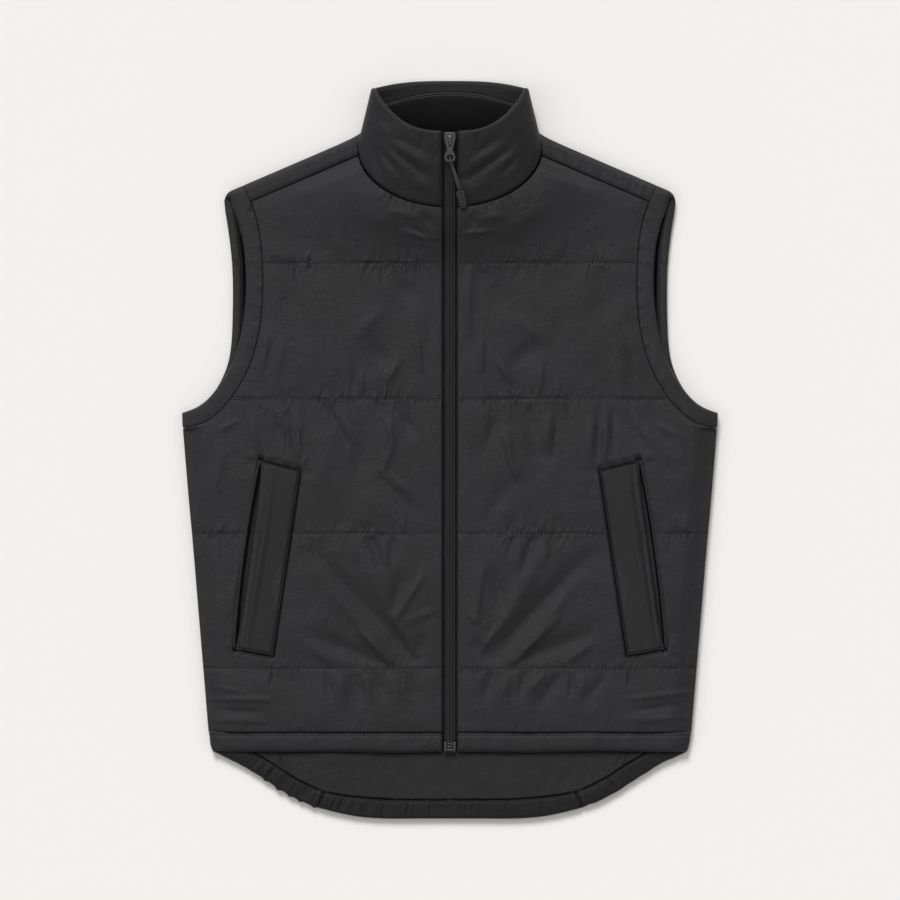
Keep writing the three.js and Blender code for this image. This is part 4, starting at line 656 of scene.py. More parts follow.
def front_surface(folds, seed, columns=290, band_rows=51):
    """Places on a front's outside and on its underside, as rows of points, and the rows that are stitched."""
    u = edge_spread(columns, 0.18)
    tops, unders, seams = [], [], []
    for number, band in enumerate(front_bands()):
        shares = edge_spread(band_rows)
        for w in shares if number == 4 else shares[:-1]:
            x, y, to_edge, is_side = band_row(band, u, w)
            low, high = (band[k](np.array([0.5]))[1][0] for k in (0, 1))
            to_seam = min(w, 1 - w) * (high - low)
            pillow = 1 - abs(2 * w - 1) ** 3.2
            to_zip = x - ZIP_HALF_GAP
            zip_roll = smooth(0.35 + 0.65 * to_zip / 14)
            edge_roll = smooth(to_edge / 26) if is_side else smooth(0.1 + 0.9 * to_edge / 16)
            seam = lerp(2.0, SEAM_WALL + FILLED, edge_roll) if is_side else SEAM_WALL + FILLED
            thick = seam + (CROWN - FILLED) * pillow * np.minimum(zip_roll, edge_roll)
            groove = (0.34 + 0.26 * np.sin(x / 19 + number)) * math.exp(-((to_seam / 0.8) ** 2))
            at_zip = np.sqrt(1 - (1 - np.clip(to_zip / 1.8, 0, 1)) ** 2)
            at_edge = np.sqrt(1 - (1 - np.clip(to_edge / (2.4 if is_side else 1.2), 0, 1)) ** 2)
            height = (thick - groove) * lerp(0.45, 1, at_zip) * lerp(0.4 if is_side else 0.84, 1, at_edge)
            base = FRONT_LEVEL + neck_rise(x, y)
            if not tops or w == 0:
                seams.append(len(tops))
            tops.append(np.column_stack([x, y, base + height]))
            under_x, under_y = x[::8], y[::8]
            unders.append(np.column_stack([under_x, under_y, FRONT_LEVEL + neck_rise(under_x, under_y)]))
    tops = np.array(tops)
    x, y = tops[..., 0], tops[..., 1]
    line_gap = np.min([np.abs(y - line) for line in (HEM_LINE, *QUILT_LINES)], axis=0)
    own_folds = [((abs(a[0]), a[1]), (abs(b[0]), b[1]), width, height) for a, b, width, height in folds]
    calm = smooth(np.minimum(x - ZIP_HALF_GAP, 12) / 12)
    relief = 1.4 * fold_height(own_folds, x, y) * smooth(line_gap / 9)
    relief += ripple(x, y, seed, 0.3) * smooth(line_gap / 14)
    relief += crease_height(front_seam_creases(seed), x, y) * smooth(0.12 + line_gap / 2.2)
    on_pocket = pocket_mask(x, y)
    tops[..., 2] += relief * lerp(0.35, 1, calm) * (1 - on_pocket) - pocket_trough(x, y)
    return tops, np.array(unders), seams


# The pockets.

POCKET = {
    "outer_top": (200, -10.5), "inner_top": (158.5, -20.5),
    "outer_low": (227.4, -211.6), "inner_low": (187.7, -218.8),
}


def pocket_place(across, up):
    """A place on the welt, at shares of its width and of its height."""
    low = [lerp(POCKET["inner_low"][k], POCKET["outer_low"][k], across) for k in (0, 1)]
    high = [lerp(POCKET["inner_top"][k], POCKET["outer_top"][k], across) for k in (0, 1)]
    return lerp(low[0], high[0], up), lerp(low[1], high[1], up)


def pocket_mask(x, y):
    """1 on the places that a pocket covers, fading to 0 just outside it."""
    up = (y + 215.2) / (215.2 - 15.5)
    inner, outer = lerp(187.7, 158.5, up), lerp(233.5, 206, up)
    inside = np.minimum(np.minimum(x - inner, outer - x), np.minimum(-10 - y, y + 219))
    return smooth(inside / 4 + 1)


def away_from(x, y, start, end):
    """The distance of places from a straight line between two points."""
    dx, dy = end[0] - start[0], end[1] - start[1]
    along = np.clip(((x - start[0]) * dx + (y - start[1]) * dy) / (dx * dx + dy * dy), 0, 1)
    return np.hypot(x - start[0] - dx * along, y - start[1] - dy * along)


def pocket_trough(x, y):
    """How deep the front is drawn in along the seams of a pocket and in its opening."""
    def from_line(start, end):
        return away_from(x, y, POCKET[start], POCKET[end])

    ends = np.minimum(from_line("inner_top", "outer_top"), from_line("inner_low", "outer_low"))
    sewn = np.minimum(from_line("inner_low", "inner_top"), ends)
    slit = from_line("outer_low", "outer_top")
    return 3.4 * np.exp(-((sewn / 1.5) ** 2)) + 4.2 * np.exp(-((slit / 2.8) ** 4))


def front_height(x, y):
    """A front's outside at a pocket, without folds."""
    lines = (HEM_LINE, *QUILT_LINES)
    k = max(n for n, line in enumerate(lines) if line <= y)
    w = (y - lines[k]) / (lines[k + 1] - lines[k])
    edge_roll = float(smooth((x_at(side_seam, y) - x) / 26))
    pillow = 1 - abs(2 * w - 1) ** 3.2
    return FRONT_LEVEL + lerp(2.0, SEAM_WALL + FILLED, edge_roll) + (CROWN - FILLED) * pillow * edge_roll


def opening_bow(up):
    """How far the pocket's opening gapes, at a share of its height."""
    return math.sin(math.pi * min(1, max(0, up))) ** 0.8


@functools.cache
def welt_rings():
    """The padded welt, sewn down on three sides and bowed along its opening."""
    rings = []
    for up in edge_spread(120):
        w = np.concatenate([np.linspace(0, 0.06, 6), np.linspace(0.1, 0.9, 22), np.linspace(0.94, 1, 6)])
        across = w * (1 - 4.4 * opening_bow(up) / WELT_WIDTH)
        x, y = pocket_place(across, up)
        bed = np.array([front_height(a, b) for a, b in zip(x, y)]) - 1.2
        from_end, out = min(up, 1 - up) * WELT_RUN, w * WELT_WIDTH
        end = math.sqrt(1 - (1 - min(1, from_end / 1.6)) ** 2)
        roll = np.sqrt(1 - (1 - np.clip(np.minimum(out / 1.6, (1 - w) * WELT_WIDTH / 2.4), 0, 1)) ** 2)
        sewn = 0.5 * np.exp(-(((out - 2.0) / 0.7) ** 2)) + 0.5 * math.exp(-(((from_end - 2.5) / 0.7) ** 2))
        ridge = 1.5 * np.exp(-(((w - 0.74 - 0.03 * math.sin(up * 5)) / 0.1) ** 2)) * opening_bow(up) ** 0.5
        slope = 0.5 * np.sin(w * math.pi) + 0.25 * math.sin(up * 9 + 1) * np.sin(w * 5)
        slope -= 0.9 * smooth((w - 0.8) / 0.2)
        lift = 13.6 + ridge + slope - sewn
        top = lerp(bed + 0.6, lift, np.minimum(roll, end))
        rings.append(ring_of(np.column_stack([x, y, top]), np.column_stack([x, y, bed])[::5]))
    return np.array(rings)


@functools.cache
def lip_rings():
    """The narrow lip on the far side of the opening, bowed the other way."""
    ax, ay = POCKET["outer_low"]
    bx, by = POCKET["outer_top"]
    length = math.hypot(bx - ax, by - ay)
    nx, ny = (by - ay) / length, -(bx - ax) / length
    rings = []
    for up in edge_spread(90):
        x0, y0 = pocket_place(1, lerp(0.005, 0.995, up))
        reach = np.linspace(0.2, 3.0, 11) + 3.7 * opening_bow(up)
        x, y = x0 + nx * reach, y0 + ny * reach
        bed = front_height(float(x[4]), float(y[4])) - 1.5
        end = math.sqrt(1 - (1 - min(1, min(up, 1 - up) * WELT_RUN / 6)) ** 2)
        top = bed + 1.0 + 2.4 * np.sqrt(1 - np.linspace(-1, 1, 11) ** 4) * (0.2 + 0.8 * end) + 0.1 * math.sin(up * 90)
        rings.append(ring_of(np.column_stack([x, y, top]), np.column_stack([x, y, np.full(11, bed)])[::5]))
    return np.array(rings)


# The bands at hem and armholes.


@functools.cache
def front_hem_rings(seed):
    """The rolled band at the bottom of a front."""
    chance = np.random.default_rng(seed)
    starts = chance.uniform(0, 6.3, 4)
    rings = []
    for u in edge_spread(150):
        w = np.linspace(0, 1, 15)
        y_top, y_low = HEM_LINE - 0.3, HEM_LINE - HEM_HEIGHT - 1.4 * (1 - u)
        edge_x = lerp(HEM_WIDTH / 2 + 1.8, HEM_WIDTH / 2 - 2.5, w)
        x = lerp(ZIP_HALF_GAP, edge_x, u)
        wave = 0.25 * math.sin(x[7] / 7 + starts[0]) + 0.2 * math.sin(x[7] / 3.1 + starts[1])
        wave += 0.3 * math.sin(x[7] / 17 + starts[2])
        y = lerp(y_top, y_low + 0.5 * math.sin(x[7] / 21 + starts[3]), w)
        roll = np.sqrt(1 - np.abs(2 * w - 1) ** 3.5)
        from_end = min(u * HEM_RUN, (1 - u) * HEM_RUN)
        end = 0.35 + 0.65 * math.sqrt(1 - (1 - min(1, from_end / 4)) ** 2)
        thin = float(smooth(0.3 + (1 - u) * HEM_RUN / 26))
        stitched = 0.8 * np.exp(-(((w - 0.16) * HEM_HEIGHT / 1.2) ** 2))
        roll = np.where(w < 0.5, lerp(0.66, 1, roll), roll)
        top = FRONT_LEVEL + 1.2 + (BAND_WALL - 1) * roll * end * thin - stitched + wave * roll
        low = np.full(4, FRONT_LEVEL)
        rings.append(ring_of(np.column_stack([x, y, top]), np.column_stack([x[::4][:4], y[::4][:4], low])))
    return np.array(rings)


@functools.cache
def armhole_rings():
    """The band round an armhole: up the front, over the shoulder fold and down the back."""
    across = np.concatenate([np.linspace(0, 0.1, 6), np.linspace(0.16, 0.88, 12), np.linspace(0.92, 0.988, 4)])
    full = np.sqrt(1 - (1 - np.clip(across / 0.12, 0, 1)) ** 2)
    dip = 0.7 * np.exp(-(((0.988 - across) * BAND_WIDTH / 0.7) ** 2))
    crown = np.sin(np.pi * across) * 0.5
    chance = np.random.default_rng(61)
    starts, at_seam = chance.uniform(0, 6.3, 3), np.exp(-(((0.97 - across) / 0.3) ** 2))
    flat = np.full(len(across), FRONT_LEVEL)

    def wave(run):
        """Small puckers, strongest beside the seam."""
        fine = 0.3 * math.sin(run / 2.1 + starts[0]) * math.sin(run / 13 + starts[1])
        return (fine + 0.22 * math.sin(run / 3.7 + starts[2])) * at_seam + 0.25 * math.sin(run / 17 + starts[0])

    def on_front(along):
        edge, seam = front_armhole_edge(along), front_armhole_seam(along)
        side = float(smooth(0.2 + along / 0.16))
        x, y = lerp(edge[0], seam[0], across), lerp(edge[1], seam[1], across)
        rise = BAND_WALL * full + crown + wave(along * FRONT_HOLE_RUN) * full - dip
        top = FRONT_LEVEL + rise * lerp(0.36, 1, side) + 0.2
        return ring_of(np.column_stack([x, y, top]), np.column_stack([x, y, flat])[::2])

    def on_back(along):
        edge, seam = back_armhole_edge(along), back_armhole_seam(along)
        x, y = lerp(edge[0], seam[0], across), lerp(edge[1], seam[1], across)
        inside = INSIDE_LEVEL - 1.4 * (1 - full) - 4.6 * smooth((across - 0.4) / 0.16)
        inside += wave(along * BACK_HOLE_RUN) * 0.6 * (across < 0.4)
        return ring_of(np.column_stack([x, y, 1.6 * (1 - full) + 0.25 * dip]), np.column_stack([x, y, inside])[::2])

    def on_fold(turn):
        from_edge = lerp(lerp(0.1, -0.3, turn / math.pi), 1, across)
        rounded = np.sqrt(1 - (1 - np.clip(across / 0.38, 0, 1)) ** 2)

        def at(radius):
            x, y = (SHOULDER_TIP[k] - FOLD_RADIUS * FOLD_OUT[k] - BAND_WIDTH * FOLD_ALONG[k] * from_edge
                    + FOLD_OUT[k] * radius * FOLD_REACH * math.sin(turn) for k in (0, 1))
            return np.column_stack([x, y, FOLD_RADIUS + radius * math.cos(turn) * np.ones_like(from_edge)])

        return ring_of(at(lerp(2.5, FOLD_RADIUS, rounded) - dip), at(np.full(len(across), 1.4))[::2])

    rings = [on_front(along) for along in np.linspace(0, 1, 240)]
    rings += [on_fold(degrees * DEGREE) for degrees in np.linspace(6, 174, 22)]
    rings += [on_back(along) for along in np.linspace(0, 1, 170)]
    return np.array(rings)


# The back and what is sewn to it.


def fold_y(x):
    """The line round which the back turns over the shoulder."""
    return SHOULDER_NECK[1] - FOLD_RADIUS / FOLD_OUT[1] + (x - SHOULDER_NECK[0]) * FOLD_ALONG[1] / FOLD_ALONG[0]


def back_bands():
    """The back's bands, from the middle to one side: tail, four quilted bands and the yoke."""
    quilt4, quilt3, quilt2, quilt1 = QUILT_LINES
    falling = curve_through([(row[2] - 0.4, row[3]) for row in BACK_ARMHOLE[::-1]])

    def line(y):
        end = x_at(side_seam if y < SIDE[0][1] else falling, y)
        return lambda u: (u * end, np.full_like(u, y))

    def tail(u):
        x, y = tail_seam(u)
        return x, y + 0.4

    def tail_side(w):
        y = lerp(HEM_LINE + 0.4, quilt4, w)
        return (lerp(248, x_at(side_seam, y), min(1, w * 9))), y

    neck_end, fold_end = 98.5, 215.5
    share = 0.45

    def top_line(u):
        x = np.where(u <= share, neck_end * u / share, lerp(neck_end, fold_end, (u - share) / (1 - share)))
        neck_y = lerp(NECK_BACK, NECK_SIDE, np.minimum(1, x / NECK_HALF) ** 2) - 0.3
        return x, np.where(u <= share, neck_y, fold_y(x))

    return (
        (tail, line(quilt4), tail_side), (line(quilt4), line(quilt3), climb(side_seam, quilt4, quilt3)),
        (line(quilt3), line(quilt2), cornered(falling)), (line(quilt2), line(quilt1), climb(falling, quilt2, quilt1)),
        (line(quilt1), top_line, climb(falling, quilt1, fold_y(fold_end))),
    )


def back_places(columns, band_rows):
    """Places over the whole back, from its right side to its left."""
    half = np.linspace(0, 1, columns)
    rows = []
    for number, band in enumerate(back_bands()):
        shares = edge_spread(band_rows)
        for w in shares if number == 4 else shares[:-1]:
            x, y, _, _ = band_row(band, half, w)
            rows.append(np.column_stack([np.concatenate([-x[:0:-1], x]), np.concatenate([y[:0:-1], y])]))
    return np.array(rows)


def back_rings():
    """The padded back: flat on the surface but for its stitched grooves."""
    places = back_places(66, 26)
    x, y = places[..., 0], places[..., 1]
    gap = np.min([np.abs(y - line) for line in QUILT_LINES], axis=0)
    creases = []
    for k, line in enumerate(QUILT_LINES):
        for side in (1, -1):
            creases += creases_from(straight((-240, line), (240, line)), 60, side, 400 + 7 * k + side, (8, 30), 0.5)
    dents = np.maximum(0, crease_height(creases, x, y)) + np.maximum(0, ripple(x, y, 90, 0.25)) * 0.5
    under = np.minimum(2.4, 1.3 * np.exp(-((gap / 1.6) ** 2)) + dents * smooth(gap / 3 + 0.1))
    rim = np.minimum(np.arange(x.shape[1]), np.arange(x.shape[1])[::-1])
    under = under + 1.5 * (rim[None, :] == 0)
    rings = []
    for row in range(len(places)):
        outside = np.column_stack([places[row], under[row]])
        inside = np.column_stack([places[row], np.full(x.shape[1], BACK_WALL) - 1.2 * (rim == 0)])
        rings.append(ring_of(outside, inside[::5]))
    return sealed(rings, x.shape[1])


def shoulder_rings():
    """The back's cloth over one shoulder fold, from its outside to the seam on the front."""
    rings = []
    leg = SHOULDER_FORWARD - FOLD_RADIUS
    beside_collar = 2.6

    def place(along, out, z):
        end = 215.9 + FOLD_OUT[0] * out
        level_y = SHOULDER_NECK[1] - FOLD_RADIUS / FOLD_OUT[1] + FOLD_OUT[1] * out
        at_collar = lerp(NECK_HALF, COLLAR_TOP_HALF, (level_y - NECK_SIDE) / (COLLAR_SIDE - NECK_SIDE)) - 0.6
        start = np.where(out > 0, at_collar, SHOULDER_NECK[0] + 0.1 + 0.08 * out)
        x = lerp(start, end, along)
        flare = beside_collar * np.exp(-(x - start) / 7) * np.clip(out / FOLD_RADIUS, 0, 1)
        return np.column_stack([x - 0.24 * flare, fold_y(x - FOLD_OUT[0] * out) + FOLD_OUT[1] * out + flare, z])

    turns = np.linspace(180, 0, 19) * DEGREE
    outer_out = np.concatenate([[-2], FOLD_RADIUS * FOLD_REACH * np.sin(turns), np.linspace(-1.5, 0.6 - leg, 9)])
    outer_z = np.concatenate([[0], FOLD_RADIUS + FOLD_RADIUS * np.cos(turns), np.full(9, 2 * FOLD_RADIUS)])
    outer_z[-9:] -= np.array([0, 0, 0, 0, 0, 0.1, 0.3, 0.6, 1.3])
    inner_out = np.concatenate([[-2], 1.5 * np.sin(turns[::3]), [-3, -8, 0.5 - leg]])
    inner_z = np.concatenate([[BACK_WALL], FOLD_RADIUS + 1.5 * np.cos(turns[::3]), [8.1, 8.1, 7.8]])
    for along in edge_spread(90):
        wave = 0.22 * math.sin(along * 44) + 0.16 * math.sin(along * 97 + 2)
        bump = wave * np.clip((outer_z - 8) / 5, 0, 1)
        rings.append(ring_of(place(along, outer_out, outer_z + bump), place(along, inner_out, inner_z)))
    return rings


def swellings(run, seed, spacing, width):
    """Uneven swellings along a line, between -1 and 1."""
    chance = np.random.default_rng(seed)
    places = np.cumsum(chance.uniform(0.4, 1.6, 300) * spacing) - 120 * spacing
    sizes = chance.uniform(0.3, 1, 300) * chance.choice([-1, 1, 1], 300)
    widths = width * chance.uniform(0.6, 1.4, 300)
    return float(np.sum(sizes * np.exp(-(((run - places) / widths) ** 2))))


@functools.cache
def tail_hem_rings(start, end, seed, jagged=()):
    """A stretch of the facing at the back's lower edge, turned up and sewn along its top."""
    rings = []
    for s in np.linspace(start, end, max(40, int(abs(end - start) * 260))):
        edge, seam = tail_edge(abs(s)), tail_seam(abs(s))
        side = -1 if s < 0 else 1
        w = np.linspace(0, 1, 15)
        run = s * TAIL_RUN
        uneven = float(smooth((abs(s) - 0.42) / 0.1)) * swellings(run, seed + 20, 11, 4)
        bumps = sum(1.9 * math.exp(-(((edge[0] - bump) / 2.1) ** 2)) for bump in jagged)
        edge = edge + (edge - seam) / TAIL_FACING * (0.5 * uneven + bumps)
        if start > 0:
            w = w * (1 - 0.26 * (1 - math.sqrt(1 - (1 - min(1, (s - start) * TAIL_RUN / 4.5)) ** 2)))
        x, y = side * lerp(edge[0], seam[0], w), lerp(edge[1], seam[1], w)
        wave = 1.1 * swellings(run, seed + 30, 6, 1.3) + 0.8 * swellings(run, seed + 40, 15, 6)
        roll = np.sqrt(1 - (1 - np.clip(w / 0.12, 0, 1)) ** 2)
        sewn = 0.9 * np.exp(-(((w - 0.93) * TAIL_FACING / 1.1) ** 2))
        ends = 1 - 0.5 * math.exp(-((min(abs(s - start), abs(end - s)) * TAIL_RUN / 2.2) ** 2))
        tucked = 1 - 0.6 * float(smooth((abs(s) - TAIL_JOIN + 0.004) / 0.004)) if start < 0 else 1
        top = 3.2 + (INSIDE_LEVEL - 2.9 + wave * np.sin(np.pi * w)) * lerp(0.2, 1, roll) * ends * tucked - sewn
        under = 1.5 * (1 - np.sqrt(1 - (1 - np.clip(w / 0.1, 0, 1)) ** 2))
        rings.append(ring_of(np.column_stack([x, y, top]), np.column_stack([x, y, under])[[0, 1, 2, 7, 14]]))
    return np.array(rings)


def lining_rings():
    """The lining that lies inside the back."""
    places = back_places(150, 34)
    x, y = places[..., 0] * 0.9955, places[..., 1]
    soft = ripple(x, y, 31, 0.3) + ripple(x * 2.3, y * 2.3, 32, 0.12)

    def tail_line(share):
        x_here = lerp(-200, 200, share)
        return x_here, float(tail_seam(abs(x_here) / 260)[1])

    creases = creases_from(tail_line, 60, 1, 33, (8, 40), 0.5, lean=0.5)
    creases += creases_from(straight((-230, -318), (230, -318)), 30, -1, 34, (10, 36), 0.4)
    in_tail = smooth((HEM_LINE - 22 - y) / 6)
    relief = soft + crease_height(creases, x, y) + fold_height(LINING_FOLDS, x, y) * in_tail
    top = INSIDE_LEVEL - 0.15 + np.clip(relief, -0.9, 0.15 + 1.6 * in_tail)
    rings = []
    for row in range(len(places)):
        outside = np.column_stack([x[row], y[row], top[row]])
        inside = np.column_stack([x[row], y[row], np.full(x.shape[1], LINING_LEVEL)])
        rings.append(ring_of(outside, inside[::6]))
    return sealed(rings, x.shape[1])


# The collar.


def signed_power(value, power):
    """A power that keeps the sign."""
    return math.copysign(abs(value) ** power, value)


def collar_point(turn, up, inset, bulge=0.0):
    """A place on the flattened ring of the collar: round it, up it and in from its outside."""
    power = 2 / ROUNDNESS
    half = lerp(NECK_HALF, COLLAR_TOP_HALF, up) - inset
    low, high = inset, lerp(COLLAR_BASE, COLLAR_TOP, up) - inset
    across, above = signed_power(math.cos(turn), power), signed_power(math.sin(turn), power)
    sideways = abs(across)
    if math.sin(turn) >= 0:
        base = NECK_SIDE - NECK_DROP * math.sqrt(max(0, 1 - sideways**2))
        top = lerp(COLLAR_FRONT, COLLAR_SIDE, sideways**3)
    else:
        base = lerp(NECK_BACK, NECK_SIDE, sideways**2)
        top = lerp(COLLAR_BACK, COLLAR_SIDE, sideways**3)
    swell = bulge * math.sin(math.pi * min(1, max(0, up))) * max(0, math.sin(turn))
    return half * across, lerp(base, top, up), (low + high) / 2 + (high - low) / 2 * above + swell


def collar_turns(up, inset, edge, count):
    """The turns from one side of the zip, round the back, to the other side."""
    half = lerp(NECK_HALF, COLLAR_TOP_HALF, up) - inset
    start = math.acos((edge / half) ** (ROUNDNESS / 2))
    sweep = math.pi + 2 * start
    return start - sweep * np.linspace(0, 1, count)


def collar_rings(section, count, edge=ZIP_HALF_GAP):
    """Rings round the section of the collar, at places from one side of the zip to the other."""
    turns = [collar_turns(up, inset, edge, count) for up, inset, _ in section]
    return np.array([[collar_point(turns[k][j], up, inset, bulge) for k, (up, inset, bulge) in enumerate(section)]
                     for j in range(count)])


def collar_body():
    """The padded collar: its outside with folds, its rolled rim and its inside."""
    bulge, half_wall = 1.6, COLLAR_WALL / 2
    ups = np.concatenate([np.linspace(0, 0.08, 6), np.linspace(0.11, 0.955, 26)])
    outside = [(up, 1.3 * (1 - float(smooth(up / 0.05))), bulge) for up in ups]
    rim = [(0.965 + 0.035 * math.sin(a), half_wall - half_wall * math.cos(a), bulge * (1 - a / math.pi))
           for a in np.linspace(0.1, math.pi - 0.1, 9)]
    inside = [(up, COLLAR_WALL, 0.0) for up in np.linspace(0.955, 0.0, 12)]
    rings = collar_rings(outside + rim + inside, 240)
    count = len(outside) + 3
    outer = rings[:, :count]
    on_front = (outer[..., 2] > lerp(COLLAR_BASE, COLLAR_TOP, 0.4) / 2)
    x, y = outer[..., 0], outer[..., 1]
    rows = creases_from(neck_seam(92, -92, 1), 80, 1, 501, (4, 20), 0.5)
    for side in (-1, 1):
        rows += creases_from(straight((side * 9, 262), (side * 9, 330)), 12, -side, 510 + side, (5, 16), 0.4)

    def rim_line(share):
        return lerp(-80, 80, share), lerp(COLLAR_FRONT, COLLAR_SIDE, abs(lerp(-1, 1, share)) ** 3) - 3

    rows += creases_from(rim_line, 30, -1, 520, (6, 20), 0.4)
    relief = 1.5 * fold_height(FOLDS["collar"], x, y) + crease_height(rows, x, y) + ripple(x, y, 530, 0.3)
    edge_calm = smooth((np.abs(x) - ZIP_HALF_GAP) / 6)
    outer[..., 2] += relief * on_front * lerp(0.2, 1, edge_calm)
    drop = np.sqrt(1 - (1 - np.clip((np.abs(x) - ZIP_HALF_GAP) / 2.2, 0, 1)) ** 2)
    outer[..., 2] -= np.where(on_front & (np.abs(x) < 14), (1 - drop) * 2.2, 0)
    return rings


def facing_line(turn):
    """Where the collar's facing meets its lining, lower at the sides."""
    return 0.828 - 0.19 * abs(math.cos(turn)) ** (4 / ROUNDNESS)


def inside_collar(section_at):
    """Rings inside the collar, whose section depends on where the facing meets the lining."""
    edge, count = ZIP_HALF_GAP + 0.6, 160
    turns = collar_turns(0.8, COLLAR_WALL, edge, count)
    return np.array([[collar_point(collar_turns(up, inset, edge, count)[j], up, inset)
                      for up, inset in section_at(facing_line(turns[j]))] for j in range(count)])


def collar_layer(rows, low=None, high=None):
    """A layer inside the collar, up to its facing line or down to it."""
    def section(line):
        ups = np.linspace(line + 0.012 if low is None else low, line - 0.028 if high is None else high, rows)
        near = [(up, COLLAR_WALL + 0.35) for up in ups]
        return near + [(up, COLLAR_WALL + 1.2 + 0.1 * math.sin(up * 60)) for up in ups[::-1]]
    return inside_collar(section)


def collar_bead(lift, radius):
    """A thin line of piping along the facing's lower edge."""
    def section(line):
        return [(line + lift + 0.014 * radius * math.cos(a), COLLAR_WALL + 1.0 + 0.75 * radius * math.sin(a))
                for a in np.linspace(0, 2 * math.pi, 9)[:-1]]
    return inside_collar(section)


# The zip.


def zip_base(y):
    """The height of the tapes' underside up the middle."""
    y = np.asarray(y, float)
    below = FRONT_LEVEL + neck_rise(np.zeros_like(y), y) + 1
    up = (y - NECK_LOW) / (COLLAR_FRONT - NECK_LOW)
    return np.where(y < NECK_LOW, below, lerp(COLLAR_BASE, COLLAR_TOP, up) - COLLAR_WALL + 1)


TAPE_LOW, TAPE_HIGH = -308.7, 335.0


def tape_rings():
    """One tape, with woven ridges along it and its coil side raised."""
    section = (
        (0.2, 1.2), (0.5, 1.5), (2.6, 1.5), (3.1, 1.0), (3.6, 1.25), (4.1, 1.0),
        (4.8, 1.1), (5.4, 1.4), (5.9, 1.1), (6.3, 0.45), (7.5, 0.3),
    )
    rings = []
    for y in np.linspace(TAPE_LOW, TAPE_HIGH, 330):
        base = float(zip_base(y))
        waver = 0.12 * math.sin(y / 9) + 0.1 * math.sin(y / 3.7)
        top = np.array([(x, y, base + z + (waver if x > 3 else 0)) for x, z in section])
        rings.append(ring_of(top, np.array([(0.2, y, base), (7.5, y, base)])))
    return rings


def coil_teeth():
    """The closed coil: small rounded ribs that meet along the middle."""
    shape = bmesh.new()
    pitch = 1.45
    count = int((TAPE_HIGH - 12 - TAPE_LOW) / pitch)
    for k in range(count):
        y = TAPE_LOW + 0.8 + k * pitch
        base = float(zip_base(y))
        slope = math.atan2(float(zip_base(y + 1)) - base, 1)
        for side in (-1, 1):
            if 319 < y < 335:
                continue
            turn = Matrix.Rotation(slope, 4, "X") @ Matrix.Rotation(side * 0.16, 4, "Z")
            where = Matrix.Translation((side * 1.4, y + side * pitch / 4, base + 1.75)) @ turn
            made = bmesh.ops.create_cube(shape, size=1.0, matrix=where @ Matrix.Diagonal((2.5, 0.95, 1.15, 1)))
            raised = {vert for vert in made["verts"] if vert.co.z > base + 1.6}
            upper = [edge for edge in shape.edges[-12:] if raised.issuperset(edge.verts)]
            bmesh.ops.bevel(shape, geom=upper, offset=0.3, affect="EDGES", segments=1, profile=0.5, material=-1)
    return shape


# The sewing.


def sewn_line(shape, points, pitch=3.0, length=2.2, radius=0.26, lift=0.1):
    """A row of stitches along a line of points."""
    points = np.asarray(points, float)
    run = np.concatenate([[0], np.cumsum(np.linalg.norm(np.diff(points, axis=0), axis=1))])
    for k in range(int(run[-1] / pitch)):
        middle = (k + 0.5) * pitch
        ends = [Vector([np.interp(middle + d * length / 2, run, points[:, axis]) for axis in range(3)])
                for d in (-1, 1)]
        way = ends[1] - ends[0]
        if way.length < 0.5:
            continue
        turn = way.to_track_quat("Z", "Y").to_matrix().to_4x4()
        where = Matrix.Translation((ends[0] + ends[1]) / 2 + Vector((0, 0, lift))) @ turn
        bmesh.ops.create_cone(shape, cap_ends=True, segments=5, radius1=radius, radius2=radius,
                              depth=length, matrix=where)


# The random start of each side's hem band, and of each side's part of the tail's facing.
HEM_SEED, TAIL_SEED = {1: 4, -1: 5}, {1: 19, -1: 8}


def thread(shape, points, radius=0.5, length=1.96):
    """A line of near-black tubes, without gaps, laid deep in a seam as painted shade."""
    sewn_line(shape, points, pitch=2.0, length=length, radius=radius, lift=0.0)


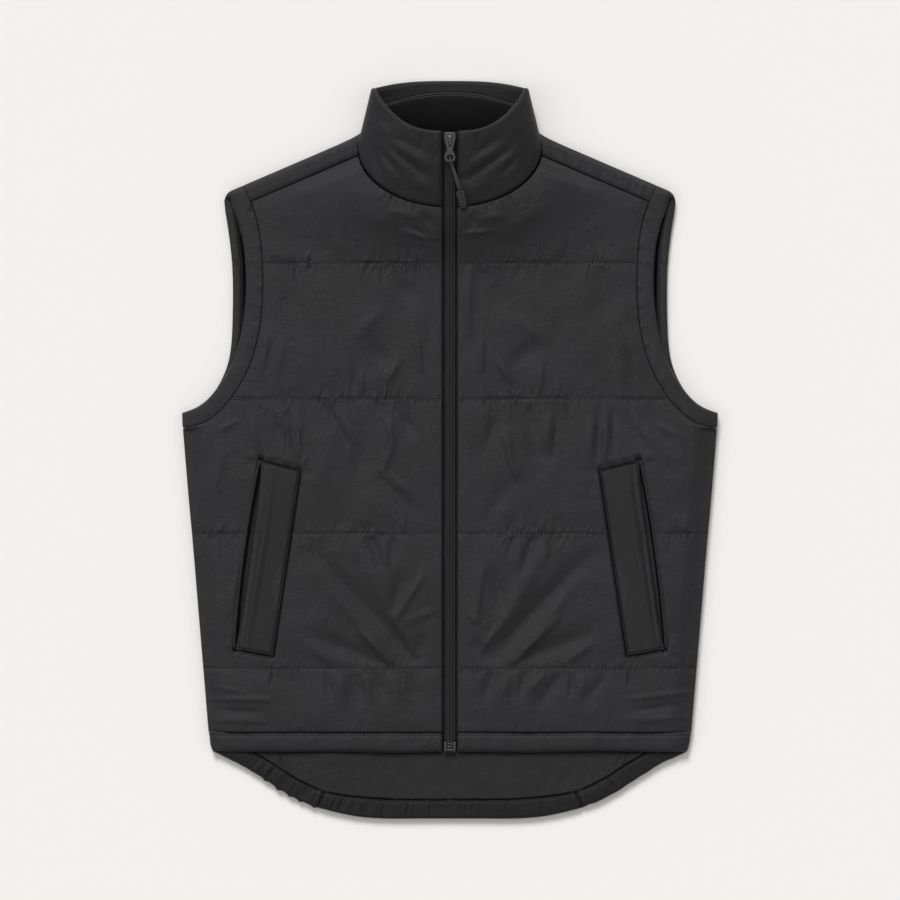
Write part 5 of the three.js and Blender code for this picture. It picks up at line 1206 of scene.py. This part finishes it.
def seam_shade_lines(fronts):
    """Painted shade: near-black tubes that lie deep in the seams and gaps, at the pockets, armholes, neck and
    shoulders.
    """
    shape = bmesh.new()
    welt, hole, lip = welt_rings(), armhole_rings(), lip_rings()
    neck = collar_rings([(0.004, 0.6, 0.0)], 240)[:, 0]
    in_front = neck[neck[:, 2] > COLLAR_BASE * 0.62] + (0, -0.3, -1.6)
    for side in (-1, 1):
        across = MIRROR[side]
        thread(shape, welt[2:-2, 0] * across + (-0.5 * side, 0, 2.2))
        for row, out in ((1, -0.5), (-2, 0.5)):
            thread(shape, welt[row, 1:33] * (side, 1, 0) + (0, out, welt[row, 16, 2] + 1.2))
        thread(shape, welt[3:-3, 4] * across, 0.34)
        for row in (3, -4):
            thread(shape, welt[row, 4:31] * across, 0.34)
        zip_y = np.linspace(TAPE_LOW - 8, TAPE_HIGH, 200)
        for x, up, radius in ((7.55, 1.5, 0.5), (5.75, 1.25, 0.24)):
            thread(shape, np.column_stack([np.full(200, x * side), zip_y, zip_base(zip_y) + up]), radius)
        thread(shape, hole[8:236, 21] * across + (-0.25 * side, 0, -0.2))
        for start, end, seed in ((0.0, TAIL_JOIN, 7), (TAIL_JOIN + 0.02, 0.97, TAIL_SEED[side])):
            thread(shape, tail_hem_rings(start, end, seed)[:, 14] * across + (0, 0.5, 0.1))
        # Painted shadow under the lower edge of the front's hem band.
        thread(shape, front_hem_rings(HEM_SEED[side])[3:-6, 14] * (side, 1, 0) + (0, -0.3, 6.3), 0.7)
        # Painted shade in the pocket's opening.
        thread(shape, lip[6:-6, 0] * across + (-1.0 * side, 0, -0.4), 1.0, 2.1)
        # Painted shade in the gap between the front's armhole band and the back's.
        gap = [(*lerp(back_armhole_edge(s), back_armhole_seam(s), 0.62), 3.0) for s in np.linspace(0.1, 0.97, 160)]
        thread(shape, np.array(gap) * across, 1.3, 2.1)
        thread(shape, lip[3:-3, 10] * across + (0.3 * side, 0, -1.0))
    for stretch in (in_front[in_front[:, 0] > 8], in_front[in_front[:, 0] < -8]):
        thread(shape, stretch)
    for tops, side in fronts:
        thread(shape, tops[-1][128:-3] * MIRROR[side] + (0, 0.2, 0.0), 0.36)
    return shape


def stitches(fronts, seam_rows):
    """The rows of stitches on the cloth."""
    shape = bmesh.new()
    for tops, side in fronts:
        for row in seam_rows[1:]:
            sewn_line(shape, tops[row][2:-2:2] * MIRROR[side])
    for side in (-1, 1):
        sewn_line(shape, front_hem_rings(HEM_SEED[side])[2:-2, 2] * MIRROR[side])
        sewn_line(shape, armhole_rings()[10:262, 20] * MIRROR[side], lift=0.05)
        facing = tail_hem_rings(TAIL_JOIN + 0.02, 0.985, TAIL_SEED[side])
        sewn_line(shape, facing[2:-2, 13] * MIRROR[side], lift=0.15)
    sewn_line(shape, tail_hem_rings(-TAIL_JOIN, TAIL_JOIN, 7)[2:-2, 13], lift=0.15)
    back_edge = curve_through([(row[2], row[3]) for row in BACK_ARMHOLE[::-1]])
    for line in QUILT_LINES:
        end = x_at(side_seam if line < SIDE[0][1] else back_edge, line) - 3
        across = np.linspace(-end, end, 200)
        sewn_line(shape, np.column_stack([across, np.full(200, line), np.full(200, 1.0)]), lift=0)
    return shape


# The small hard pieces.


def rounded_copy(node, name, look, width):
    """A solid of the frame with its edges rounded."""
    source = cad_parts[node]
    shape = bmesh.new()
    shape.from_mesh(source.data)
    bmesh.ops.transform(shape, matrix=source.matrix_world, verts=shape.verts)
    bmesh.ops.remove_doubles(shape, verts=shape.verts, dist=0.00001)
    bmesh.ops.dissolve_limit(shape, angle_limit=4 * DEGREE, verts=shape.verts, edges=shape.edges)
    sharp = [e for e in shape.edges if len(e.link_faces) == 2 and e.calc_face_angle(0) > 35 * DEGREE]
    bmesh.ops.bevel(shape, geom=sharp, offset=width * MM, affect="EDGES", segments=3, profile=0.5, material=-1,
                    clamp_overlap=True)
    bmesh.ops.triangulate(shape, faces=[f for f in shape.faces if len(f.verts) > 4])
    mesh = bpy.data.meshes.new(name)
    shape.to_mesh(mesh)
    shape.free()
    mesh.polygons.foreach_set("use_smooth", [True] * len(mesh.polygons))
    mesh.set_sharp_from_angle(angle=40 * DEGREE)
    piece = bpy.data.objects.new(name, mesh)
    bpy.context.scene.collection.objects.link(piece)
    mesh.materials.append(look)
    return piece


# Each rib's place, as shares of the box's size, its turn in degrees, and its width and length.
BOX_RIBS = (
    (-0.38, 0, 4, 0.13, 0.8), (0.38, 0, -4, 0.13, 0.8), (0.03, 0.27, 84, 0.1, 0.46),
    (-0.05, 0.02, 97, 0.1, 0.38), (0.02, -0.26, 88, 0.12, 0.5),
)


def box_ribs():
    """The raised ribs on the zip's box: one down each side and three short ones across."""
    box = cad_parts["zip_box"]
    corners = np.array([box.matrix_world @ Vector(c) for c in box.bound_box]) / MM
    low, high = corners.min(axis=0), corners.max(axis=0)
    middle, size = (low + high) / 2, high - low
    shape = bmesh.new()
    for x, y, turn, width, length in BOX_RIBS:
        place = Matrix.Translation((middle[0] + x * size[0], middle[1] + y * size[1], high[2] + 0.1))
        where = place @ Matrix.Rotation(turn * DEGREE, 4, "Z")
        stretch = Matrix.Diagonal((width * size[0], length * size[1], 0.7, 1))
        made = bmesh.ops.create_cube(shape, size=1.0, matrix=where @ stretch)
        edges = {edge for vert in made["verts"] for edge in vert.link_edges}
        bmesh.ops.bevel(shape, geom=list(edges), offset=0.16, affect="EDGES", segments=2, profile=0.5, material=-1)
    return shape


# The camera, the floor and the light.

camera_data = bpy.data.cameras.new("camera")
camera = bpy.data.objects.new("camera", camera_data)
bpy.context.scene.collection.objects.link(camera)
bpy.context.scene.camera = camera
camera.location = (0.0001, -0.0003, 5.01)
camera_data.lens = 36 * 5 / 0.954
camera_data.sensor_width = 36
camera_data.clip_end = 30

floor_shape = bmesh.new()
bmesh.ops.create_grid(floor_shape, x_segments=1, y_segments=1, size=4)
bmesh.ops.translate(floor_shape, vec=(0, 0, -0.0004), verts=floor_shape.verts)
floor_mesh = bpy.data.meshes.new("floor")
floor_shape.to_mesh(floor_mesh)
floor_shape.free()
floor = bpy.data.objects.new("floor", floor_mesh)
bpy.context.scene.collection.objects.link(floor)
paper = Finish("pale floor", Base_Color=(0.87, 0.862, 0.835, 1), Roughness=0.9)
paper.shader.inputs["Specular IOR Level"].default_value = 0.1
floor_mesh.materials.append(paper.material)


def far_light(name, place, strength, spread):
    """A large soft light so far off that it is as strong all over the floor."""
    data = bpy.data.lights.new(name, "SUN")
    data.energy, data.angle = strength, spread * DEGREE
    light = bpy.data.objects.new(name, data)
    light.location = place
    light.rotation_euler = (-Vector(place)).to_track_quat("-Z", "Y").to_euler()
    bpy.context.scene.collection.objects.link(light)


far_light("high light", (-0.9, 4.4, 3.4), 2.66, 22)
far_light("side light", (-3.6, -1.0, 2.6), 0.2, 30)
world = bpy.data.worlds.new("studio")
bpy.context.scene.world = world
world.use_nodes = True
world.node_tree.nodes["Background"].inputs[0].default_value = (1, 0.995, 0.985, 1)
world.node_tree.nodes["Background"].inputs[1].default_value = 0.48
bpy.context.scene.view_settings.view_transform = "Standard"


# The vest itself.

left_tops, left_unders, seam_rows = front_surface(FOLDS["left"], 3)
right_tops, right_unders, _ = front_surface(FOLDS["right"], 203)
for name, tops, unders, flip in (("left", left_tops, left_unders, 1), ("right", right_tops, right_unders, -1)):
    rings = sealed([ring_of(top, under) for top, under in zip(tops, unders)], len(tops[0]))
    piece = finish_piece(loft(np.array(rings) * MIRROR[flip]), f"front_{name}_cloth", SHELL)
    dress(piece, f"front_{name}")

for name, flip in (("left", 1), ("right", -1)):
    across = MIRROR[flip]
    hem = finish_piece(loft(front_hem_rings(HEM_SEED[flip]) * across), f"front_hem_{name}_cloth", SHELL)
    dress(hem, f"front_hem_{name}")
    band = finish_piece(loft(armhole_rings() * across), f"armhole_band_{name}_cloth", SHELL)
    dress(band, f"armhole_band_{name}")
    welt = finish_piece(loft(welt_rings() * across), f"pocket_welt_{name}_cloth", TRIM)
    dress(welt, f"pocket_welt_{name}")
    lip = finish_piece(loft(lip_rings() * across), f"pocket_lip_{name}_cloth", TRIM)
    dress(lip, f"pocket_lip_{name}")
    tape = finish_piece(loft(np.array(tape_rings()) * across), f"zip_tape_{name}_cloth", TAPE)
    dress(tape, f"zip_tape_{name}", slot="tape")
    jagged = () if flip > 0 else (196, 182, 170, 159, 144)
    facing_rings = tail_hem_rings(TAIL_JOIN + 0.002, 0.999, TAIL_SEED[flip], jagged)
    facing = finish_piece(loft(facing_rings * across), f"back_hem_{name}_cloth", FACING)
    dress(facing, f"back_hem_{name}", slot="lining")

middle = finish_piece(loft(tail_hem_rings(-TAIL_JOIN - 0.02, TAIL_JOIN + 0.02, 7)), "back_hem_middle_cloth", FACING)
dress(middle, "back_hem_middle", slot="lining")

back = loft(back_rings())
for flip in (1, -1):
    wrap = loft(np.array(shoulder_rings()) * MIRROR[flip])
    held = bpy.data.meshes.new("shoulder")
    wrap.to_mesh(held)
    wrap.free()
    back.from_mesh(held)
    bpy.data.meshes.remove(held)
back_cloth = finish_piece(back, "back_cloth", SHELL)
dress(back_cloth, "back_panel")

lining = finish_piece(loft(lining_rings()), "back_lining_cloth", LINING)
dress(lining, "back_lining", slot="lining")

collar = finish_piece(loft(collar_body()), "collar_cloth", COLLAR)
dress(collar, "collar")
facing = finish_piece(loft(collar_layer(8, high=0.955)), "collar_facing_cloth", FACING)
dress(facing, "collar_facing")
# The collar's lining, with painted shade towards the bottom of the collar's inside.
inner = finish_piece(loft(collar_layer(16, low=0.02)), "collar_lining_cloth", INNER_SHADED)
dress(inner, "collar_lining", slot="lining")

for name, lift, radius in (("upper", 0.004, 0.7), ("lower", -0.024, 0.5)):
    wear(finish_piece(loft(collar_bead(lift, radius)), f"collar_piping_{name}", PIPING))

wear(finish_piece(coil_teeth(), "zip_coil", COIL, smooth_faces=False))
fronts = ((left_tops, 1), (right_tops, -1))
# Near-black tubes in the seams and gaps: painted shade.
wear(finish_piece(seam_shade_lines(fronts), "painted_seam_shade", SEAM_SHADE))
wear(finish_piece(stitches(fronts, seam_rows), "stitching", THREAD))

dress(rounded_copy("zip_box", "zip_box_cast", DARK_METAL, 0.35), "zip_box", slot="dark_metal")
wear(finish_piece(box_ribs(), "zip_box_ribs", METAL))
dress(rounded_copy("zip_slider", "zip_slider_cast", METAL, 0.3), "zip_slider", slot="dark_metal")
dress(rounded_copy("zip_pull", "zip_pull_cast", METAL, 0.25), "zip_pull", body="pull", slot="dark_metal")
grip = dress(rounded_copy("pull_grip", "pull_grip_moulding", GRIP, 0.6), "pull_grip", body="pull", slot="grip")

# Rows are x, y and the height above the coil.
CORD_ROUTE = (
    (9, 275, 4.2), (7, 282, 4.1), (4.6, 290, 3.3), (2.2, 297, 3.2), (0.9, 301.6, 4.6), (0.3, 304.8, 5.4),
    (0.1, 307.6, 5.1), (0.2, 309, 3.4), (0.6, 307.6, 1.7), (1.4, 304.4, 1.2), (2.9, 299.6, 1.2), (4.9, 294, 2.6),
    (6.9, 288.4, 4), (9, 282.4, 4.1), (11.1, 275.4, 4.2),
)
route = [(x * MM, y * MM, (float(zip_base(y)) + COIL_TOP + up) * MM) for x, y, up in CORD_ROUTE]
cord_curve = bpy.data.curves.new("pull_cord_braid", "CURVE")
cord_curve.dimensions = "3D"
cord_curve.bevel_depth = 0.0008
cord_curve.bevel_resolution = 3
cord_curve.resolution_u = 8
line = cord_curve.splines.new("NURBS")
line.points.add(len(route) - 1)
for spot, place in zip(line.points, route):
    spot.co = (*place, 1)
line.order_u = 4
line.use_endpoint_u = True
cord = bpy.data.objects.new("pull_cord_braid", cord_curve)
bpy.context.scene.collection.objects.link(cord)
cord_curve.materials.append(CORD)
dress(cord, "pull_cord", body="pull", slot="tape")
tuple(route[0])
